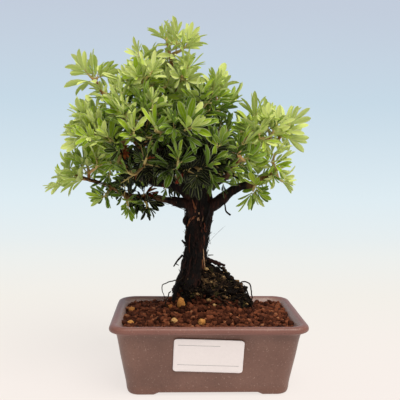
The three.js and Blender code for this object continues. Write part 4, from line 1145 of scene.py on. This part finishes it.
def make_shoot(name, ends, count):
    """Each shoot is one piece: its twigs, leaves in spirals that tighten to each end, and short leafy
    spurs. The second and third twig branch from the first."""
    chunks, leafy, fine = [], [], []
    steps, fork = 31, None
    for k, (across, up, depth, turn, lean, length) in enumerate(ends):
        seed = count + 7 * k
        end, way = seen(across, up, depth), heading(turn, lean)
        start = bud_for(end, way) if fork is None else fork
        path = bezier(start, end, way, np.array([math.cos(count), math.sin(count), 0.6]), steps)
        if fork is None:
            fork = path[9]
        age = np.linspace(0.45 if k else 0.25, 1.0, steps)[:, None]
        chunks.append((tube(path, taper(TWIG_RADII, steps), 8), 1, looks((steps, 8), 0.0, age)))
        at, ahead = along_stem(path, LEAF_PLACES[:5 if length < WEAK_SHOOT else 8], 5)
        tone = 0.4 + 0.2 * (scatter(seed, 6) - 0.5)
        leafy.append(leaves_on(at, ahead, np.arange(len(at)), seed, length, tone))
        lines, radii, leaves = spurs_on(path, length, seed)
        leafy += leaves
        fine.append((lines, radii))
    (blades, values), stalks = compound(*(np.concatenate(x) for x in zip(*leafy)), count)
    chunks.append((blades, 0, values))
    chunks += [strands(lines, radii, 4, 0.0, 0.9, 1) for lines, radii in [stalks, *fine] if len(lines)]
    piece(f"leafy_{name}", chunks, [LEAF, TWIG], [f"shoot_{name}"], flat=0)


names = [(f"{zone}_{number}", ends) for zone, group in SHOOTS.items() for number, ends in enumerate(group, 1)]
for count, (name, ends) in enumerate(names, 1):
    make_shoot(name, ends, count)


# Floor, backdrop and light

# Colours along the sweep, from the floor in front to the top of the wall
SWEEP = ((0.10, "#f9f1ec"), (0.18, "#f3f0ea"), (0.256, "#edf0ee"), (0.40, "#ddebf2"), (0.54, "#c7dae8"),
         (0.634, "#c6d1e1"))


def sweep_paint(tree, place):
    """Matt studio paint, warm white on the table and pale blue up the wall, faintly uneven. It glows:
    painted light, its emission gives most of its brightness and also lights the plant, though it is no lamp."""
    parts = node(tree, "SeparateXYZ", place).node.outputs
    run = node(tree, "ADD", parts["Y"], parts["Z"])
    uneven = node(tree, "MapRange", node(tree, "TexNoise", place, 1000 / 400, 2, 0.55), 0, 1, -0.03, 0.03)
    level = node(tree, "MapRange", node(tree, "ADD", run, uneven), -0.4, 3.2)
    colour = node(tree, "ValToRGB", level, stops=SWEEP)
    # The lit colour is dimmed, so that the painted glow gives most of the sweep's brightness
    darker = node(tree, "Mix", 1.0, colour, "#6c6c6c", data_type="RGBA", blend_type="MULTIPLY")
    return {"Base Color": darker, "Emission Color": colour}


def make_stage():
    """A warm white table that sweeps up into a pale blue wall, in one curved sheet: 2.2 m of floor, a
    quarter turn of 0.6 m radius and 0.9 m of wall, 3.6 m wide."""
    rows, columns = 80, 41
    run, x = np.linspace(0, 1, rows)[:, None], np.linspace(-1800, 1800, columns)
    bend = share(run, 0.5, 0.8) * np.pi / 2
    y = np.where(run < 0.5, -1500 + 2200 * run / 0.5, 700 + 600 * np.sin(bend))
    z = 600 * (1 - np.cos(bend)) + 900 * share(run, 0.8, 1)
    grid = (np.stack(np.broadcast_arrays(x, y, z - 0.05), -1) + MIDDLE) / 1000
    mesh = bpy.data.meshes.new("studio_sweep")
    corner = np.arange(rows - 1)[:, None] * columns + np.arange(columns - 1)
    quads = np.stack([corner, corner + 1, corner + columns + 1, corner + columns], -1).reshape(-1, 4)
    mesh.from_pydata(grid.reshape(-1, 3).tolist(), [], quads.tolist())
    mesh.polygons.foreach_set("use_smooth", np.ones(len(quads), bool))
    # The sweep glows over its whole face: painted light, not a lamp
    mesh.materials.append(finish("glowing_studio_sweep", sweep_paint, Roughness=0.95, Specular_IOR_Level=0.0,
                                 Emission_Strength=0.82))
    sweep = bpy.data.objects.new("studio_sweep", mesh)
    scene.collection.objects.link(sweep)


make_stage()
sun_data = bpy.data.lights.new("key", "SUN")
sun_data.energy, sun_data.angle, sun_data.color = 3.1, math.radians(46), tint("#fff8ee")[:3]
sun = bpy.data.objects.new("key", sun_data)
sun.matrix_world = Vector((-0.32, 0.5, -1.0)).to_track_quat("-Z", "Y").to_matrix().to_4x4()
scene.collection.objects.link(sun)
world = bpy.data.worlds.new("studio_air")
world.use_nodes = True
world.node_tree.nodes["Background"].inputs["Color"].default_value = tint("#f2f4f6")
world.node_tree.nodes["Background"].inputs["Strength"].default_value = 0.36
scene.world = world
scene.view_settings.view_transform = "Standard"
